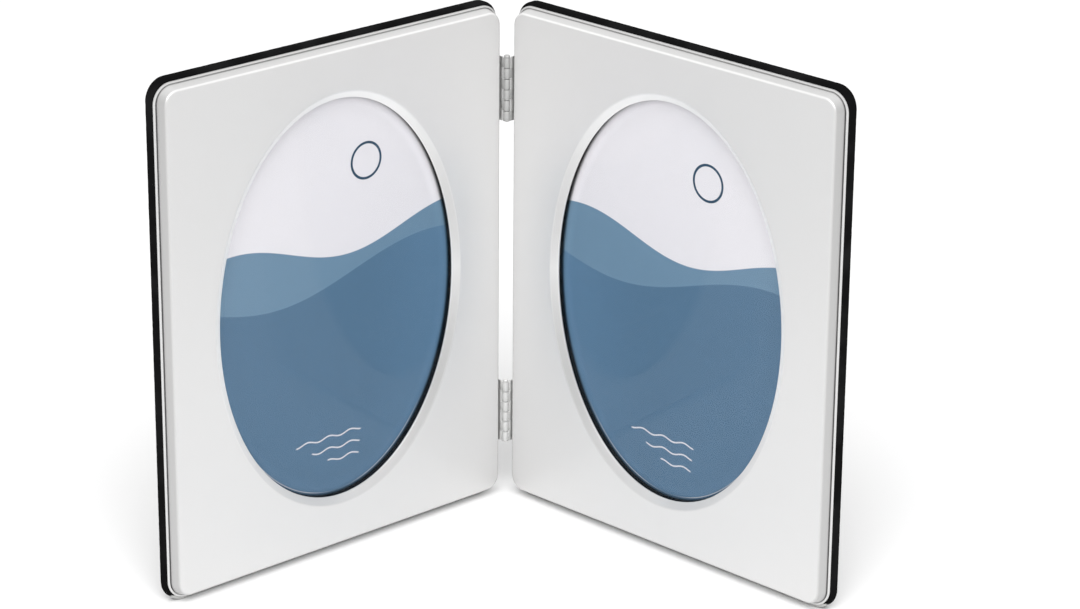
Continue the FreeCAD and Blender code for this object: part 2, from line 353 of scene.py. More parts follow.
@dataclass(frozen=True)
class SilverPlate:
    """Lacquered silver plate, evenly bright apart from painted light that makes it a little brighter low down
    and away from the fold, with painted shade in its crease and painted light and shade on its bevels,
    shoulder and rim.
    """

    # Painted light and shade: these levels brighten or darken the plate's colour outwards, downwards, at the
    # lower outer corner and across its middle height.
    level: float = 0.62
    painted_light_outwards: float = -0.052
    painted_light_downwards: float = -0.01
    painted_light_corner: float = 0.097
    painted_light_waist: float = 0.05
    reach: float = 105 * MM
    height: float = 175 * MM
    tint: tuple[float, float, float] = (1.0, 0.995, 0.99)
    # Painted shade: the crease and the oval's cut edge are painted this near black.
    crease_shade: tuple[float, float, float] = (0.03, 0.03, 0.032)
    metallic: float = 0.4
    roughness: float = 0.42
    crease_roughness: float = 0.3
    ripple_size: float = 14 * MM
    ripple_tone: float = 0.012
    ripple_roughness: float = 0.06
    ripple_strength: float = 0.1
    ripple_height: float = 0.05 * MM
    polish_size: float = 0.5 * MM
    polish_stretch: tuple[float, float, float] = (1, 1, 0.08)
    polish_roughness: float = 0.08
    lacquer: float = 0.25
    lacquer_roughness: float = 0.08

    def painted_brightness(self, shader: Shader) -> Field:
        """Share of the light that the plate gives back, painted to grow outwards and downwards, times the
        mesh's painted light and shade.

        Args:
            shader: The plate's shader.

        Returns:
            The share.
        """
        outwards = shader.along((1, 0, 0)).size() / self.reach
        downwards = shader.along((0, 0, -1), (0, 0, self.height)) / self.height
        waist = (1.0 - outwards) * downwards * (1.0 - downwards) * 4.0
        even = outwards * self.painted_light_outwards + downwards * self.painted_light_downwards + self.level
        uneven = outwards * downwards * self.painted_light_corner + waist * self.painted_light_waist
        # Painted light and shade: the mesh's tone attribute lightens or darkens the bevels, shoulder and rim.
        return (even + uneven) * shader.attribute("tone")

    def material(self) -> bpy.types.Material:
        """Builds the finish.

        Returns:
            The material.
        """
        shader = Shader("silver_plate")
        # Painted shade: the crease attribute darkens the crease and the oval's cut edge.
        crease = shader.attribute("crease")
        ripple = shader.grain(self.ripple_size)
        polish = shader.grain(self.polish_size, Detail.MEDIUM, self.polish_stretch)
        # Painted light: the base level carries the painted light and shade of the plate.
        level = self.painted_brightness(shader) + (ripple - 0.5) * self.ripple_tone
        plate_tone = shader.blend(level, BLACK, self.tint)
        colour = shader.blend(crease, plate_tone, self.crease_shade)
        rough = self.roughness + (ripple - 0.5) * self.ripple_roughness
        rough = rough + (polish - 0.5) * self.polish_roughness + crease * self.crease_roughness
        normal = shader.bump(ripple, self.ripple_strength, self.ripple_height)
        body = shader.principled(Base_Color=colour, Metallic=self.metallic, Roughness=rough, Normal=normal,
                                 Coat_Weight=self.lacquer, Coat_Roughness=self.lacquer_roughness)
        return shader.surface(body.outputs[0])


@dataclass(frozen=True)
class ClearGlass:
    """Thin clear pane: see-through, with a faint reflection that grows at a slant."""

    tint: tuple[float, float, float] = (0.985, 0.992, 0.99)
    reflectance: float = 0.008
    roughness: float = 0.02
    smear_size: float = 18 * MM
    smear_range: tuple[float, float] = (0.45, 0.8)
    smear_roughness: float = 0.03
    slant_power: float = 5.0

    def material(self) -> bpy.types.Material:
        """Builds the finish.

        Returns:
            The material.
        """
        shader = Shader("clear_glass")
        smear = shader.grain(self.smear_size).step(*self.smear_range)
        clear = shader.node("ShaderNodeBsdfTransparent", {}, {"Color": opaque(self.tint)})
        gloss = shader.node("ShaderNodeBsdfGlossy", {}, {
            "Color": (1.0, 1.0, 1.0, 1.0), "Roughness": self.roughness + smear * self.smear_roughness})
        facing = shader.node("ShaderNodeLayerWeight", {}, {"Blend": 0.5}).outputs["Facing"]
        share = Field(shader, facing) ** self.slant_power * (1.0 - self.reflectance) + self.reflectance
        mixed = shader.node("ShaderNodeMixShader", {}, {0: share, 1: clear.outputs[0], 2: gloss.outputs[0]})
        return shader.surface(mixed.outputs[0])


@dataclass(frozen=True)
class PlaceholderPrint:
    """Printed paper with a plain hill scene in a pale tone and slate blue, with painted shadow where the
    plate overlaps it, painted light near the oval's edge and on the fold side, and a painted highlight low
    inside the oval.
    """

    sky: tuple[float, float, float] = screen(214, 210, 215)
    far_hill: tuple[float, float, float] = screen(103, 130, 153)
    near_hill: tuple[float, float, float] = screen(80, 108, 134)
    ink: tuple[float, float, float] = screen(50, 72, 92)
    far_crest: float = 94 * MM
    far_swell: float = 5 * MM
    far_wave: float = 92 * MM
    far_phase: float = 0.9
    near_crest: float = 83 * MM
    near_swell: float = 6.5 * MM
    near_wave: float = 128 * MM
    near_phase: float = 3.4
    edge: float = 0.12 * MM
    sun_across: float = 64 * MM
    sun_up: float = 119 * MM
    sun_radius: float = 6.0 * MM
    sun_line: float = 0.75 * MM
    ripple_up: float = 27 * MM
    ripple_gap: float = 4.2 * MM
    ripple_half: float = 14 * MM
    ripple_rows: int = 3
    ripple_taper: float = 0.25
    ripple_middle: float = 47 * MM
    ripple_shift: float = 3 * MM
    ripple_wave: float = 9 * MM
    ripple_swell: float = 0.5 * MM
    ripple_stroke: tuple[float, float] = (0.32 * MM, 0.2 * MM)
    ripple_end: float = 1 * MM
    ripple_ink: float = 0.85
    fibre_size: float = 0.25 * MM
    fibre_range: tuple[float, float] = (0.35, 0.65)
    fibre_colour: tuple[float, float, float] = (0.9, 0.9, 0.9)
    fibre_share: float = 0.004
    fibre_roughness: float = 0.1
    fibre_strength: float = 0.02
    fibre_height: float = 0.01 * MM
    sheen_size: float = 60 * MM
    sheen_roughness: float = 0.05
    roughness: float = 0.42
    gloss: float = 0.04
    sheet_middle: tuple[float, float] = (50 * MM, 75 * MM)
    oval_half: tuple[float, float] = (48.15 * MM, 68.2 * MM)
    # Painted shadow, light and highlight: the paper is painted dark under the plate's edge, painted lighter
    # just inside the oval's edge and on the fold side, and given a painted highlight low inside the oval.
    shade_rise: float = 0.4 * MM
    shade_soft: tuple[float, float] = (-0.7 * MM, 0.8 * MM)
    shade_depth: float = 0.95
    painted_edge_light: float = 0.16
    painted_edge_light_range: tuple[float, float] = (-5.0 * MM, -1.0 * MM)
    painted_fold_light: float = 0.2
    fold_soft: tuple[float, float] = (50 * MM, 14 * MM)
    glint_inset: float = 0.45 * MM
    glint_half: float = 0.16 * MM
    glint_top: tuple[float, float] = (34 * MM, 20 * MM)
    glint_foot: tuple[float, float] = (7 * MM, 10 * MM)
    glint_share: float = 0.7

    def material(self) -> bpy.types.Material:
        """Builds the finish.

        Returns:
            The material.
        """
        shader = Shader("printed_paper")
        across, up = shader.sheet_place()
        fibre = shader.grain(self.fibre_size, Detail.FINE)
        sheen = shader.grain(self.sheen_size, Detail.SOFT)
        far = self.hill(across, up, self.far_wave, self.far_phase, self.far_swell, self.far_crest)
        near = self.hill(across, up, self.near_wave, self.near_phase, self.near_swell, self.near_crest)
        scene = shader.blend(far, self.sky, self.far_hill)
        scene = shader.blend(near, scene, self.near_hill)
        scene = shader.blend(self.sun(across, up), scene, self.ink)
        scene = shader.blend(self.ripples(across, up), scene, self.sky)
        growth = self.past_oval(across, up)
        fold_side = shader.along((1, 0, 0)).size().step(*self.fold_soft)
        # Painted light: the scene is lightened just inside the oval's edge and on the slate hill's fold side.
        painted_edge_light = 1.0 + growth.step(*self.painted_edge_light_range) * self.painted_edge_light + near * fold_side * self.painted_fold_light
        scene = shader.scaled(scene, painted_edge_light)
        # Painted shadow: the paper past the oval's edge, under the plate, is painted nearly black.
        scene = shader.blend(growth.step(*self.shade_soft) * self.shade_depth, scene, BLACK)
        # Painted highlight: a thin pale line is painted low along the inside of the oval.
        scene = shader.blend(self.glint(growth, up), scene, self.sky)
        paper = shader.blend(fibre.step(*self.fibre_range) * self.fibre_share, scene, self.fibre_colour)
        rough = self.roughness + (fibre - 0.5) * self.fibre_roughness + sheen * self.sheen_roughness
        normal = shader.bump(fibre, self.fibre_strength, self.fibre_height)
        body = shader.principled(Base_Color=paper, Roughness=rough, Normal=normal,
                                 Specular_IOR_Level=self.gloss)
        return shader.surface(body.outputs[0])

    def hill(self, across: Field, up: Field, wave: float, phase: float, swell: float, crest: float) -> Field:
        """Mask of a rolling hill.

        Args:
            across: Place across the sheet.
            up: Place up the sheet.
            wave: Length of one roll.
            phase: Where the roll starts, in radians.
            swell: How far the roll rises and falls.
            crest: Mean height of the hill's line.

        Returns:
            The mask, 1 below the hill's line.
        """
        line = (across * (math.tau / wave) + phase).sine() * swell + crest
        return (up - line).step(self.edge, -self.edge)

    def past_oval(self, across: Field, up: Field) -> Field:
        """Distance past the plate's oval edge, which keeps the light off the paper behind the plate.

        Args:
            across: Place across the sheet.
            up: Place up the sheet.

        Returns:
            The distance in metres, below zero inside the oval.
        """
        half_wide, half_tall = self.oval_half
        from_left = across - self.sheet_middle[0]
        from_middle = up - (self.sheet_middle[1] + self.shade_rise)
        level = ((from_left / half_wide) ** 2.0 + (from_middle / half_tall) ** 2.0).root()
        slope = ((from_left / half_wide ** 2) ** 2.0 + (from_middle / half_tall ** 2) ** 2.0).root()
        return (level - 1.0) * level / slope

    def glint(self, growth: Field, up: Field) -> Field:
        """Mask of a painted highlight: a thin bright line painted low along the inside of the oval, for the
        glint at the glass's inner edge.
        """
        line = (growth + self.glint_inset).size().step(self.glint_half, self.glint_half / 2)
        return line * up.step(*self.glint_top) * up.step(*self.glint_foot) * self.glint_share

    def sun(self, across: Field, up: Field) -> Field:
        """Mask of the sun's thin ring."""
        from_middle = ((across - self.sun_across) ** 2.0 + (up - self.sun_up) ** 2.0).root()
        return (from_middle - self.sun_radius).size().step(self.sun_line / 2 + self.edge, self.sun_line / 2)

    def ripples(self, across: Field, up: Field) -> Field:
        """Mask of some short waves low on the sheet, each shorter than the one above.

        Args:
            across: Place across the sheet.
            up: Place up the sheet.

        Returns:
            The mask.
        """
        wave = (across * (math.tau / self.ripple_wave)).sine() * self.ripple_swell
        found = None
        for row in range(self.ripple_rows):
            half = self.ripple_half * (1 - self.ripple_taper * row)
            line = wave + self.ripple_up - row * self.ripple_gap
            reach = (across - (self.ripple_middle + row * self.ripple_shift)).size()
            stroke = (up - line).size().step(*self.ripple_stroke) * reach.step(half, half - self.ripple_end)
            found = stroke if found is None else found.either(stroke)
        return found * self.ripple_ink


@dataclass(frozen=True)
class BlackVelvet:
    """Deep black velvet whose pile catches a little light at a slant, with painted light that turns the
    lowest strip of the board's front pale grey, as if lit by the floor.
    """

    colour: tuple[float, float, float] = (0.0035, 0.0035, 0.0037)
    brushed: tuple[float, float, float] = (0.013, 0.013, 0.0135)
    # Painted light: the foot colour is painted on the lowest strip of the board's front, as if lit by the
    # floor.
    foot: tuple[float, float, float] = (0.55, 0.55, 0.54)
    nap_size: float = 16 * MM
    nap_range: tuple[float, float] = (0.4, 0.7)
    nap_share: float = 0.6
    nap_relief: float = 0.6
    pile_size: float = 0.35 * MM
    pile_share: float = 0.4
    pile_relief: float = 0.8
    relief_strength: float = 0.8
    relief_height: float = 0.12 * MM
    foot_pile: float = 0.3
    roughness: float = 0.92
    sheen: float = 0.01
    sheen_roughness: float = 0.45

    def material(self) -> bpy.types.Material:
        """Builds the finish.

        Returns:
            The material.
        """
        shader = Shader("black_velvet")
        nap = shader.grain(self.nap_size, Detail.FINE).step(*self.nap_range)
        pile = shader.grain(self.pile_size)
        colour = shader.blend(nap * self.nap_share + pile * self.pile_share, self.colour, self.brushed)
        # Painted light: the foot attribute paints the lowest front strip pale grey.
        lit = shader.attribute("foot") * (1.0 - self.foot_pile + pile * self.foot_pile)
        colour = shader.blend(lit, colour, self.foot)
        normal = shader.bump(pile * self.pile_relief + nap * self.nap_relief, self.relief_strength,
                             self.relief_height)
        body = shader.principled(Base_Color=colour, Roughness=self.roughness, Normal=normal,
                                 Sheen_Weight=self.sheen, Sheen_Roughness=self.sheen_roughness,
                                 Specular_IOR_Level=0.0)
        return shader.surface(body.outputs[0])


@dataclass(frozen=True)
class BrightMetal:
    """Nickel-plated steel with fine draw marks and small scuffs, duller on the hinges' front ridge, where
    painted shade also darkens it, with painted light further back round the knuckles and the hinge metal
    painted darker the higher it stands.
    """

    colour: tuple[float, float, float] = (0.7, 0.7, 0.695)
    # Painted shade and light: the ridge colour is painted dark on the knuckles' front, the hollow colour
    # lighter behind it, and both are scaled to grow darker with height.
    ridge: tuple[float, float, float] = (0.4, 0.4, 0.395)
    hollow: tuple[float, float, float] = (0.7, 0.7, 0.69)
    ridge_front: float = 42.9 * MM
    ridge_depth: float = 1.3 * MM
    hollow_depth: float = 2.6 * MM
    painted_light_base: float = 1.51
    painted_shade_rise: float = 3.74
    metallic: float = 0.4
    plated: float = 0.55
    roughness: float = 0.45
    plated_polish: float = 0.12
    draw_size: float = 0.12 * MM
    draw_stretch: tuple[float, float, float] = (1, 1, 0.12)
    draw_roughness: float = 0.16
    draw_strength: float = 0.2
    draw_height: float = 0.01 * MM
    scuff_size: float = 1.4 * MM
    scuff_range: tuple[float, float] = (0.5, 0.75)
    scuff_share: float = 0.12
    scuff_tone: float = 0.6
    scuff_roughness: float = 0.14

    def material(self) -> bpy.types.Material:
        """Builds the finish.

        Returns:
            The material.
        """
        shader = Shader("nickel_steel")
        lines = shader.grain(self.draw_size, Detail.MEDIUM, self.draw_stretch)
        scuff = shader.grain(self.scuff_size, Detail.FINE).step(*self.scuff_range)
        # Painted light and shade: dark at the knuckles' front, lighter behind, darker the higher the point
        # stands.
        depth = shader.along((0, 1, 0), (0, self.ridge_front, 0))
        painted_ridge_tone = shader.blend(depth.step(0.0, self.ridge_depth), self.ridge, self.hollow)
        painted_ridge_tone = shader.scaled(painted_ridge_tone, self.painted_light_base - shader.along((0, 0, 1)) * self.painted_shade_rise)
        near = depth.step(self.ridge_depth, self.hollow_depth)
        colour = shader.blend(near, painted_ridge_tone, self.colour)
        scuffed = [channel * self.scuff_tone for channel in self.colour]
        colour = shader.blend(scuff * self.scuff_share, colour, scuffed)
        rough = self.roughness + (lines - 0.5) * self.draw_roughness + scuff * self.scuff_roughness
        normal = shader.bump(lines, self.draw_strength, self.draw_height)
        body = shader.principled(Base_Color=colour, Metallic=self.metallic + near * self.plated,
                                 Roughness=rough - near * self.plated_polish, Normal=normal)
        return shader.surface(body.outputs[0])


@dataclass(frozen=True)
class PressedBoard:
    """Fibreboard or card, matted with short fibres."""

    name: str
    colour: tuple[float, float, float]
    fibre: tuple[float, float, float]
    fleck_size: float = 0.3 * MM
    fleck_stretch: tuple[float, float, float] = (1, 1, 2.5)
    fleck_share: float = 0.6
    fleck_roughness: float = 0.15
    fleck_strength: float = 0.4
    fleck_height: float = 0.05 * MM
    cloud_size: float = 9 * MM
    roughness: float = 0.82

    def material(self) -> bpy.types.Material:
        """Builds the finish.

        Returns:
            The material.
        """
        shader = Shader(self.name)
        fleck = shader.grain(self.fleck_size, Detail.FINE, self.fleck_stretch)
        cloud = shader.grain(self.cloud_size)
        share = fleck * self.fleck_share + cloud * (1.0 - self.fleck_share)
        colour = shader.blend(share, self.colour, self.fibre)
        rough = self.roughness + (fleck - 0.5) * self.fleck_roughness
        normal = shader.bump(fleck, self.fleck_strength, self.fleck_height)
        body = shader.principled(Base_Color=colour, Roughness=rough, Normal=normal)
        return shader.surface(body.outputs[0])


@dataclass(frozen=True)
class PanelFrame:
    """Panel coordinates of one side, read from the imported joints."""

    side: Side
    axis: Vector
    outward: Vector
    backward: Vector

    @classmethod
    def of(cls, side: Side) -> "PanelFrame":
        """Reads one panel's directions.

        Args:
            side: Which panel.

        Returns:
            The panel's coordinates.
        """
        joints = {joint["name"]: joint for joint in frame["joints"]}
        back = Vector(joints[f"{side.value}_turn_button_upper_inner_turn"]["axis"]).normalized()
        out = Vector((back.y, -back.x, 0.0)) * (1 if side is Side.RIGHT else -1)
        fold = Vector(joints["fold"]["pos_m"])
        return cls(side, Vector((fold.x, fold.y, 0.0)), out, back)

    @property
    def body(self) -> str:
        """Body that the panel's fixed pieces ride on."""
        return f"{self.side.value}_panel"

    def node(self, name: str) -> str:
        """Full node name of one of this panel's pieces."""
        return f"{self.side.value}_{name}"

    def at(self, out: float, back: float, up: float) -> Vector:
        """Row-frame place of a point in panel coordinates."""
        return self.axis + self.outward * out + self.backward * back + UP * up

    def local(self, point: Vector) -> Vector:
        """Panel coordinates of a row-frame place."""
        from_axis = point - self.axis
        return Vector((from_axis.dot(self.outward), from_axis.dot(self.backward), point.z))

    def reach(self, vertices: Iterable[Any]) -> tuple[Vector, Vector]:
        """Box of some vertices in panel coordinates.

        Args:
            vertices: The vertices, with their row-frame places.

        Returns:
            The box's lowest and highest corner.
        """
        points = [self.local(vertex.co) for vertex in vertices]
        low = Vector(min(point[i] for point in points) for i in range(3))
        high = Vector(max(point[i] for point in points) for i in range(3))
        return low, high

    def extent(self, name: str) -> tuple[Vector, Vector]:
        """Lowest and highest corner of one of this panel's nodes, in panel coordinates."""
        return self.reach(frame["nodes"][self.node(name)].data.vertices)


@dataclass(frozen=True)
class RoundedPath:
    """A rounded rectangle standing in a panel, sampled alike at every inset so that rings match."""

    low: Vector
    high: Vector
    corner: float
    corner_steps: int = 14
    side_steps: int = 36

    def points(self, inset: float) -> list[tuple[float, float]]:
        """Outline drawn in by an inset, as places out and up.

        Args:
            inset: Distance inwards from the full outline.

        Returns:
            The places, anticlockwise from the outer lower corner.
        """
        middle_out = (self.low.x + self.high.x) / 2
        middle_up = (self.low.z + self.high.z) / 2
        reach_out = (self.high.x - self.low.x) / 2 - self.corner
        reach_up = (self.high.z - self.low.z) / 2 - self.corner
        radius = self.corner - inset
        found = []
        for quarter, (sx, sz) in enumerate(((1, -1), (1, 1), (-1, 1), (-1, -1))):
            for step in range(self.corner_steps + 1):
                angle = math.pi / 2 * (quarter - 1 + step / self.corner_steps)
                found.append((middle_out + sx * reach_out + radius * math.cos(angle),
                              middle_up + sz * reach_up + radius * math.sin(angle)))
            start = found[-1]
            following = ((1, 1), (-1, 1), (-1, -1), (1, -1))[quarter]
            angle = math.pi / 2 * quarter
            end = (middle_out + following[0] * reach_out + radius * math.cos(angle),
                   middle_up + following[1] * reach_up + radius * math.sin(angle))
            for step in range(1, self.side_steps):
                share = step / self.side_steps
                found.append((start[0] + (end[0] - start[0]) * share, start[1] + (end[1] - start[1]) * share))
        return found


@dataclass(frozen=True)
class OvalPath:
    """An ellipse sampled at the same bearings as a rounded path, so that the two can be bridged."""

    middle: tuple[float, float]
    half_width: float
    half_height: float
    bearings: tuple[float, ...]

    @classmethod
    def facing(cls, path: RoundedPath, half_width: float, half_height: float) -> "OvalPath":
        """Makes an ellipse in the middle of a rounded path.

        Args:
            path: The rounded path.
            half_width: The ellipse's half width.
            half_height: Its half height.

        Returns:
            The ellipse.
        """
        middle = ((path.low.x + path.high.x) / 2, (path.low.z + path.high.z) / 2)
        bearings = tuple(math.atan2(up - middle[1], out - middle[0]) for out, up in path.points(0.0))
        return cls(middle, half_width, half_height, bearings)

    def points(self, growth: float) -> list[tuple[float, float]]:
        """Ellipse grown all round, as places out and up.

        Args:
            growth: Distance outwards from the ellipse.

        Returns:
            The places, in the order of the rounded path's.
        """
        wide = self.half_width + growth
        tall = self.half_height + growth
        found = []
        for bearing in self.bearings:
            reach = wide * tall / math.hypot(tall * math.cos(bearing), wide * math.sin(bearing))
            found.append((self.middle[0] + reach * math.cos(bearing),
                          self.middle[1] + reach * math.sin(bearing)))
        return found


def arc_profile(centre: tuple[float, float], radius: float, start: float, end: float,
                steps: int) -> list[tuple[float, float]]:
    """Points of an arc in a profile plane, both ends included.

    Args:
        centre: The arc's centre.
        radius: Its radius.
        start: First angle in degrees.
        end: Last angle in degrees.
        steps: Number of straight pieces.

    Returns:
        The points.
    """
    found = []
    for step in range(steps + 1):
        angle = math.radians(start + (end - start) * step / steps)
        found.append((centre[0] + radius * math.cos(angle), centre[1] + radius * math.sin(angle)))
    return found


def filled(rows: Iterable[tuple[float, ...]], count: int = 5) -> list[tuple[float, ...]]:
    """Rows filled up with zeros to one length."""
    return [(*row, *[0.0] * (count - len(row))) for row in rows]


class Mesher:
    """Gathers one piece's rings and faces, and gives it as an object."""

    def __init__(self, name: str) -> None:
        """Starts an empty piece.

        Args:
            name: The piece's name.
        """
        self.name = name
        self.mesh = bmesh.new()

    def ring(self, points: Iterable[Vector]) -> list[bmesh.types.BMVert]:
        """Adds one ring of vertices."""
        return [self.mesh.verts.new(point) for point in points]

    def bridge(self, first: Sequence[bmesh.types.BMVert], second: Sequence[bmesh.types.BMVert]) -> None:
        """Joins two closed rings of the same count with quads.

        Args:
            first: One ring.
            second: The other ring.
        """
        count = len(first)
        for i in range(count):
            after = (i + 1) % count
            self.mesh.faces.new((first[i], first[after], second[after], second[i]))

    def loft(self, rings: Sequence[Sequence[bmesh.types.BMVert]], closed: bool) -> None:
        """Joins rings in order.

        Args:
            rings: The rings, all of the same count.
            closed: Whether the last ring meets the first; otherwise each end gets a cap.
        """
        for first, second in zip(rings, rings[1:]):
            self.bridge(first, second)
        if closed:
            self.bridge(rings[-1], rings[0])
        else:
            self.mesh.faces.new(list(reversed(rings[0])))
            self.mesh.faces.new(rings[-1])

    def data(self) -> bpy.types.Mesh:
        """Turns the gathered faces outwards.

        Returns:
            The plain mesh; nothing more can be gathered afterwards.
        """
        bmesh.ops.recalc_face_normals(self.mesh, faces=self.mesh.faces)
        data = bpy.data.meshes.new(self.name)
        self.mesh.to_mesh(data)
        self.mesh.free()
        return data

    def finish(self, material: bpy.types.Material, sharp: float) -> bpy.types.Object:
        """Turns the gathered mesh into a shown object.

        Args:
            material: The piece's finish.
            sharp: Edges that turn by more degrees than this stay crisp.

        Returns:
            The object, at the origin.
        """
        return shown(self.name, self.data(), material, sharp)


def shown(name: str, data: bpy.types.Mesh, material: bpy.types.Material, sharp: float) -> bpy.types.Object:
    """Links a mesh as a smooth-shaded object with one material.

    Args:
        name: The object's name.
        data: The mesh.
        material: The object's finish.
        sharp: Edges that turn by more degrees than this stay crisp.

    Returns:
        The object.
    """
    data.materials.clear()
    data.materials.append(material)
    for polygon in data.polygons:
        polygon.use_smooth = True
    data.set_sharp_from_angle(angle=math.radians(sharp))
    made = bpy.data.objects.new(name, data)
    bpy.context.scene.collection.objects.link(made)
    return made


def seat(piece: bpy.types.Object, body: str, slot: str, *nodes: str) -> None:
    """Puts a finished piece on its body in place of its nodes.

    Args:
        piece: The finished piece.
        body: The body that it moves with.
        slot: The record's material slot for the piece; not used.
        nodes: The nodes that it stands for.
    """
    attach(piece, body)
    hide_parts(*nodes)
    log.info("%s: %d faces on %s", piece.name, len(piece.data.polygons), body)


def baked(piece: bpy.types.Object) -> bpy.types.Mesh:
    """Plain mesh of an object with its modifiers applied."""
    graph = bpy.context.evaluated_depsgraph_get()
    return bpy.data.meshes.new_from_object(piece.evaluated_get(graph))


def merged(node: str) -> bmesh.types.BMesh:
    """Copy of a node's mesh with the corners of its loose triangles merged.

    Args:
        node: The node to copy.

    Returns:
        The copy, which the caller frees.
    """
    source = bmesh.new()
    source.from_mesh(frame["nodes"][node].data)
    bmesh.ops.remove_doubles(source, verts=source.verts, dist=MERGE)
    return source


def refined(node: str, name: str, material: bpy.types.Material, edge: float, flat: float = 1.5,
            sharp: float = 35.0) -> bpy.types.Object:
    """Copy of a node's mesh with its flat faces joined and its edges softened.

    Args:
        node: The node to copy.
        name: The new piece's name.
        material: Its finish.
        edge: Width of the softened edges.
        flat: Faces that turn by less degrees than this are joined.
        sharp: Edges that turn by more degrees than this are softened.

    Returns:
        The new piece.
    """
    source = merged(node)
    bmesh.ops.dissolve_limit(source, angle_limit=math.radians(flat), verts=source.verts, edges=source.edges)
    data = bpy.data.meshes.new(name)
    source.to_mesh(data)
    source.free()
    rough = temporary(name + "_rough", data)
    bevel = rough.modifiers.new("soft_edges", "BEVEL")
    bevel.width = edge
    bevel.segments = 2
    bevel.limit_method = "ANGLE"
    bevel.angle_limit = math.radians(sharp)
    bevel.harden_normals = False
    result = baked(rough)
    bpy.data.objects.remove(rough)
    result.name = name
    return shown(name, result, material, sharp)


def islands(panel: PanelFrame, node: str) -> list[Vector]:
    """Middles of the separate solids in a panel's node.

    Args:
        panel: The panel.
        node: The node's full name.

    Returns:
        The row-frame places, from the lowest up.
    """
    source = merged(node)
    left = set(source.verts)
    found = []
    while left:
        group = {left.pop()}
        edge = list(group)
        while edge:
            near = {other for vertex in edge for link in vertex.link_edges for other in link.verts}
            edge = list(near - group)
            group |= near
        left -= group
        low, high = panel.reach(group)
        found.append(panel.at(*((low + high) / 2)))
    source.free()
    return sorted(found, key=lambda middle: (round(middle.z, 4), middle.x))


class Repeater(Tree):
    """Geometry nodes that put copies of a part on places or along a line."""

    def __init__(self, name: str, **kinds: str) -> None:
        """Starts a tree that takes a geometry, the part, its finish and some further inputs.

        Args:
            name: The tree's name.
            kinds: Kinds of the further inputs by their names, with underscores for spaces.
        """
        super().__init__(bpy.data.node_groups.new(name, "GeometryNodeTree"))
        kinds = {"Geometry": "Geometry", "Part": "Object", **kinds, "Material": "Material"}
        self.sockets = {key: self.interface(key.replace("_", " "), "INPUT", kind)
                        for key, kind in kinds.items()}
        self.interface("Geometry", "OUTPUT", "Geometry")
        self.given = self.tree.nodes.new("NodeGroupInput").outputs
        self.sink = self.tree.nodes.new("NodeGroupOutput")

    def interface(self, name: str, way: str, kind: str) -> str:
        """Adds a named input or output to the tree and gives its identifier."""
        made = self.tree.interface.new_socket(name=name, in_out=way, socket_type=f"NodeSocket{kind}")
        return made.identifier

    def copies(self, points: bpy.types.NodeSocket, scale: Any = (1.0, 1.0, 1.0)) -> bpy.types.NodeSocket:
        """Puts the part on every point.

        Args:
            points: The points.
            scale: Size of the copies, as three factors or one socket.

        Returns:
            The copies.
        """
        part = self.node("GeometryNodeObjectInfo", {"transform_space": "ORIGINAL"},
                         {"Object": self.given["Part"]})
        made = self.node("GeometryNodeInstanceOnPoints", {}, {
            "Points": points, "Instance": part.outputs["Geometry"], "Scale": scale})
        return made.outputs[0]

    def end(self, geometry: bpy.types.NodeSocket) -> None:
        """Realizes the copies, gives them the material and joins them to the output.

        Args:
            geometry: The copies.
        """
        real = self.node("GeometryNodeRealizeInstances", {}, {"Geometry": geometry})
        painted = self.node("GeometryNodeSetMaterial", {}, {
            "Geometry": real.outputs[0], "Material": self.given["Material"]})
        self.tree.links.new(painted.outputs[0], self.sink.inputs[0])

    def run(self, base: bpy.types.Mesh, part: bpy.types.Mesh, name: str, **values: Any) -> bpy.types.Mesh:
        """Runs the tree on a mesh.

        Args:
            base: The mesh that gives the input geometry.
            part: The mesh that is copied.
            name: Name of the resulting mesh.
            values: The tree's further inputs by name.

        Returns:
            The plain mesh.
        """
        holder, stamp = temporary("repeat_base", base), temporary("repeat_part", part)
        modifier = holder.modifiers.new("repeat", "NODES")
        modifier.node_group = self.tree
        for key, value in {"Part": stamp, **values}.items():
            modifier[self.sockets[key]] = value
        result = baked(holder)
        result.name = name
        bpy.data.objects.remove(holder)
        bpy.data.objects.remove(stamp)
        return result


def place_repeater() -> Repeater:
    """Makes the tree that puts a part on every vertex of its input.

    Returns:
        The tree.
    """
    repeat = Repeater("part_on_places", Part_Size="Float")
    dots = repeat.node("GeometryNodeMeshToPoints", {}, {"Mesh": repeat.given["Geometry"]})
    repeat.end(repeat.copies(dots.outputs[0], repeat.given["Part Size"]))
    return repeat


def line_repeater() -> Repeater:
    """Makes the tree that stacks a part along the fold axis and joins it to its input.

    Returns:
        The tree.
    """
    repeat = Repeater("part_up_a_line", Count="Int", Start="Vector", Pitch="Vector")
    line = repeat.node("GeometryNodeMeshLine", {}, {
        "Count": repeat.given["Count"], "Start Location": repeat.given["Start"],
        "Offset": repeat.given["Pitch"]})
    both = repeat.node("GeometryNodeJoinGeometry")
    for geometry in (repeat.copies(line.outputs[0]), repeat.given["Geometry"]):
        repeat.tree.links.new(geometry, both.inputs[0])
    repeat.end(both.outputs[0])
    return repeat


def temporary(name: str, data: bpy.types.Mesh) -> bpy.types.Object:
    """Links a helper object, which the caller removes after its use.

    Args:
        name: The helper's name.
        data: Its mesh.

    Returns:
        The helper.
    """
    made = bpy.data.objects.new(name, data)
    bpy.context.scene.collection.objects.link(made)
    return made


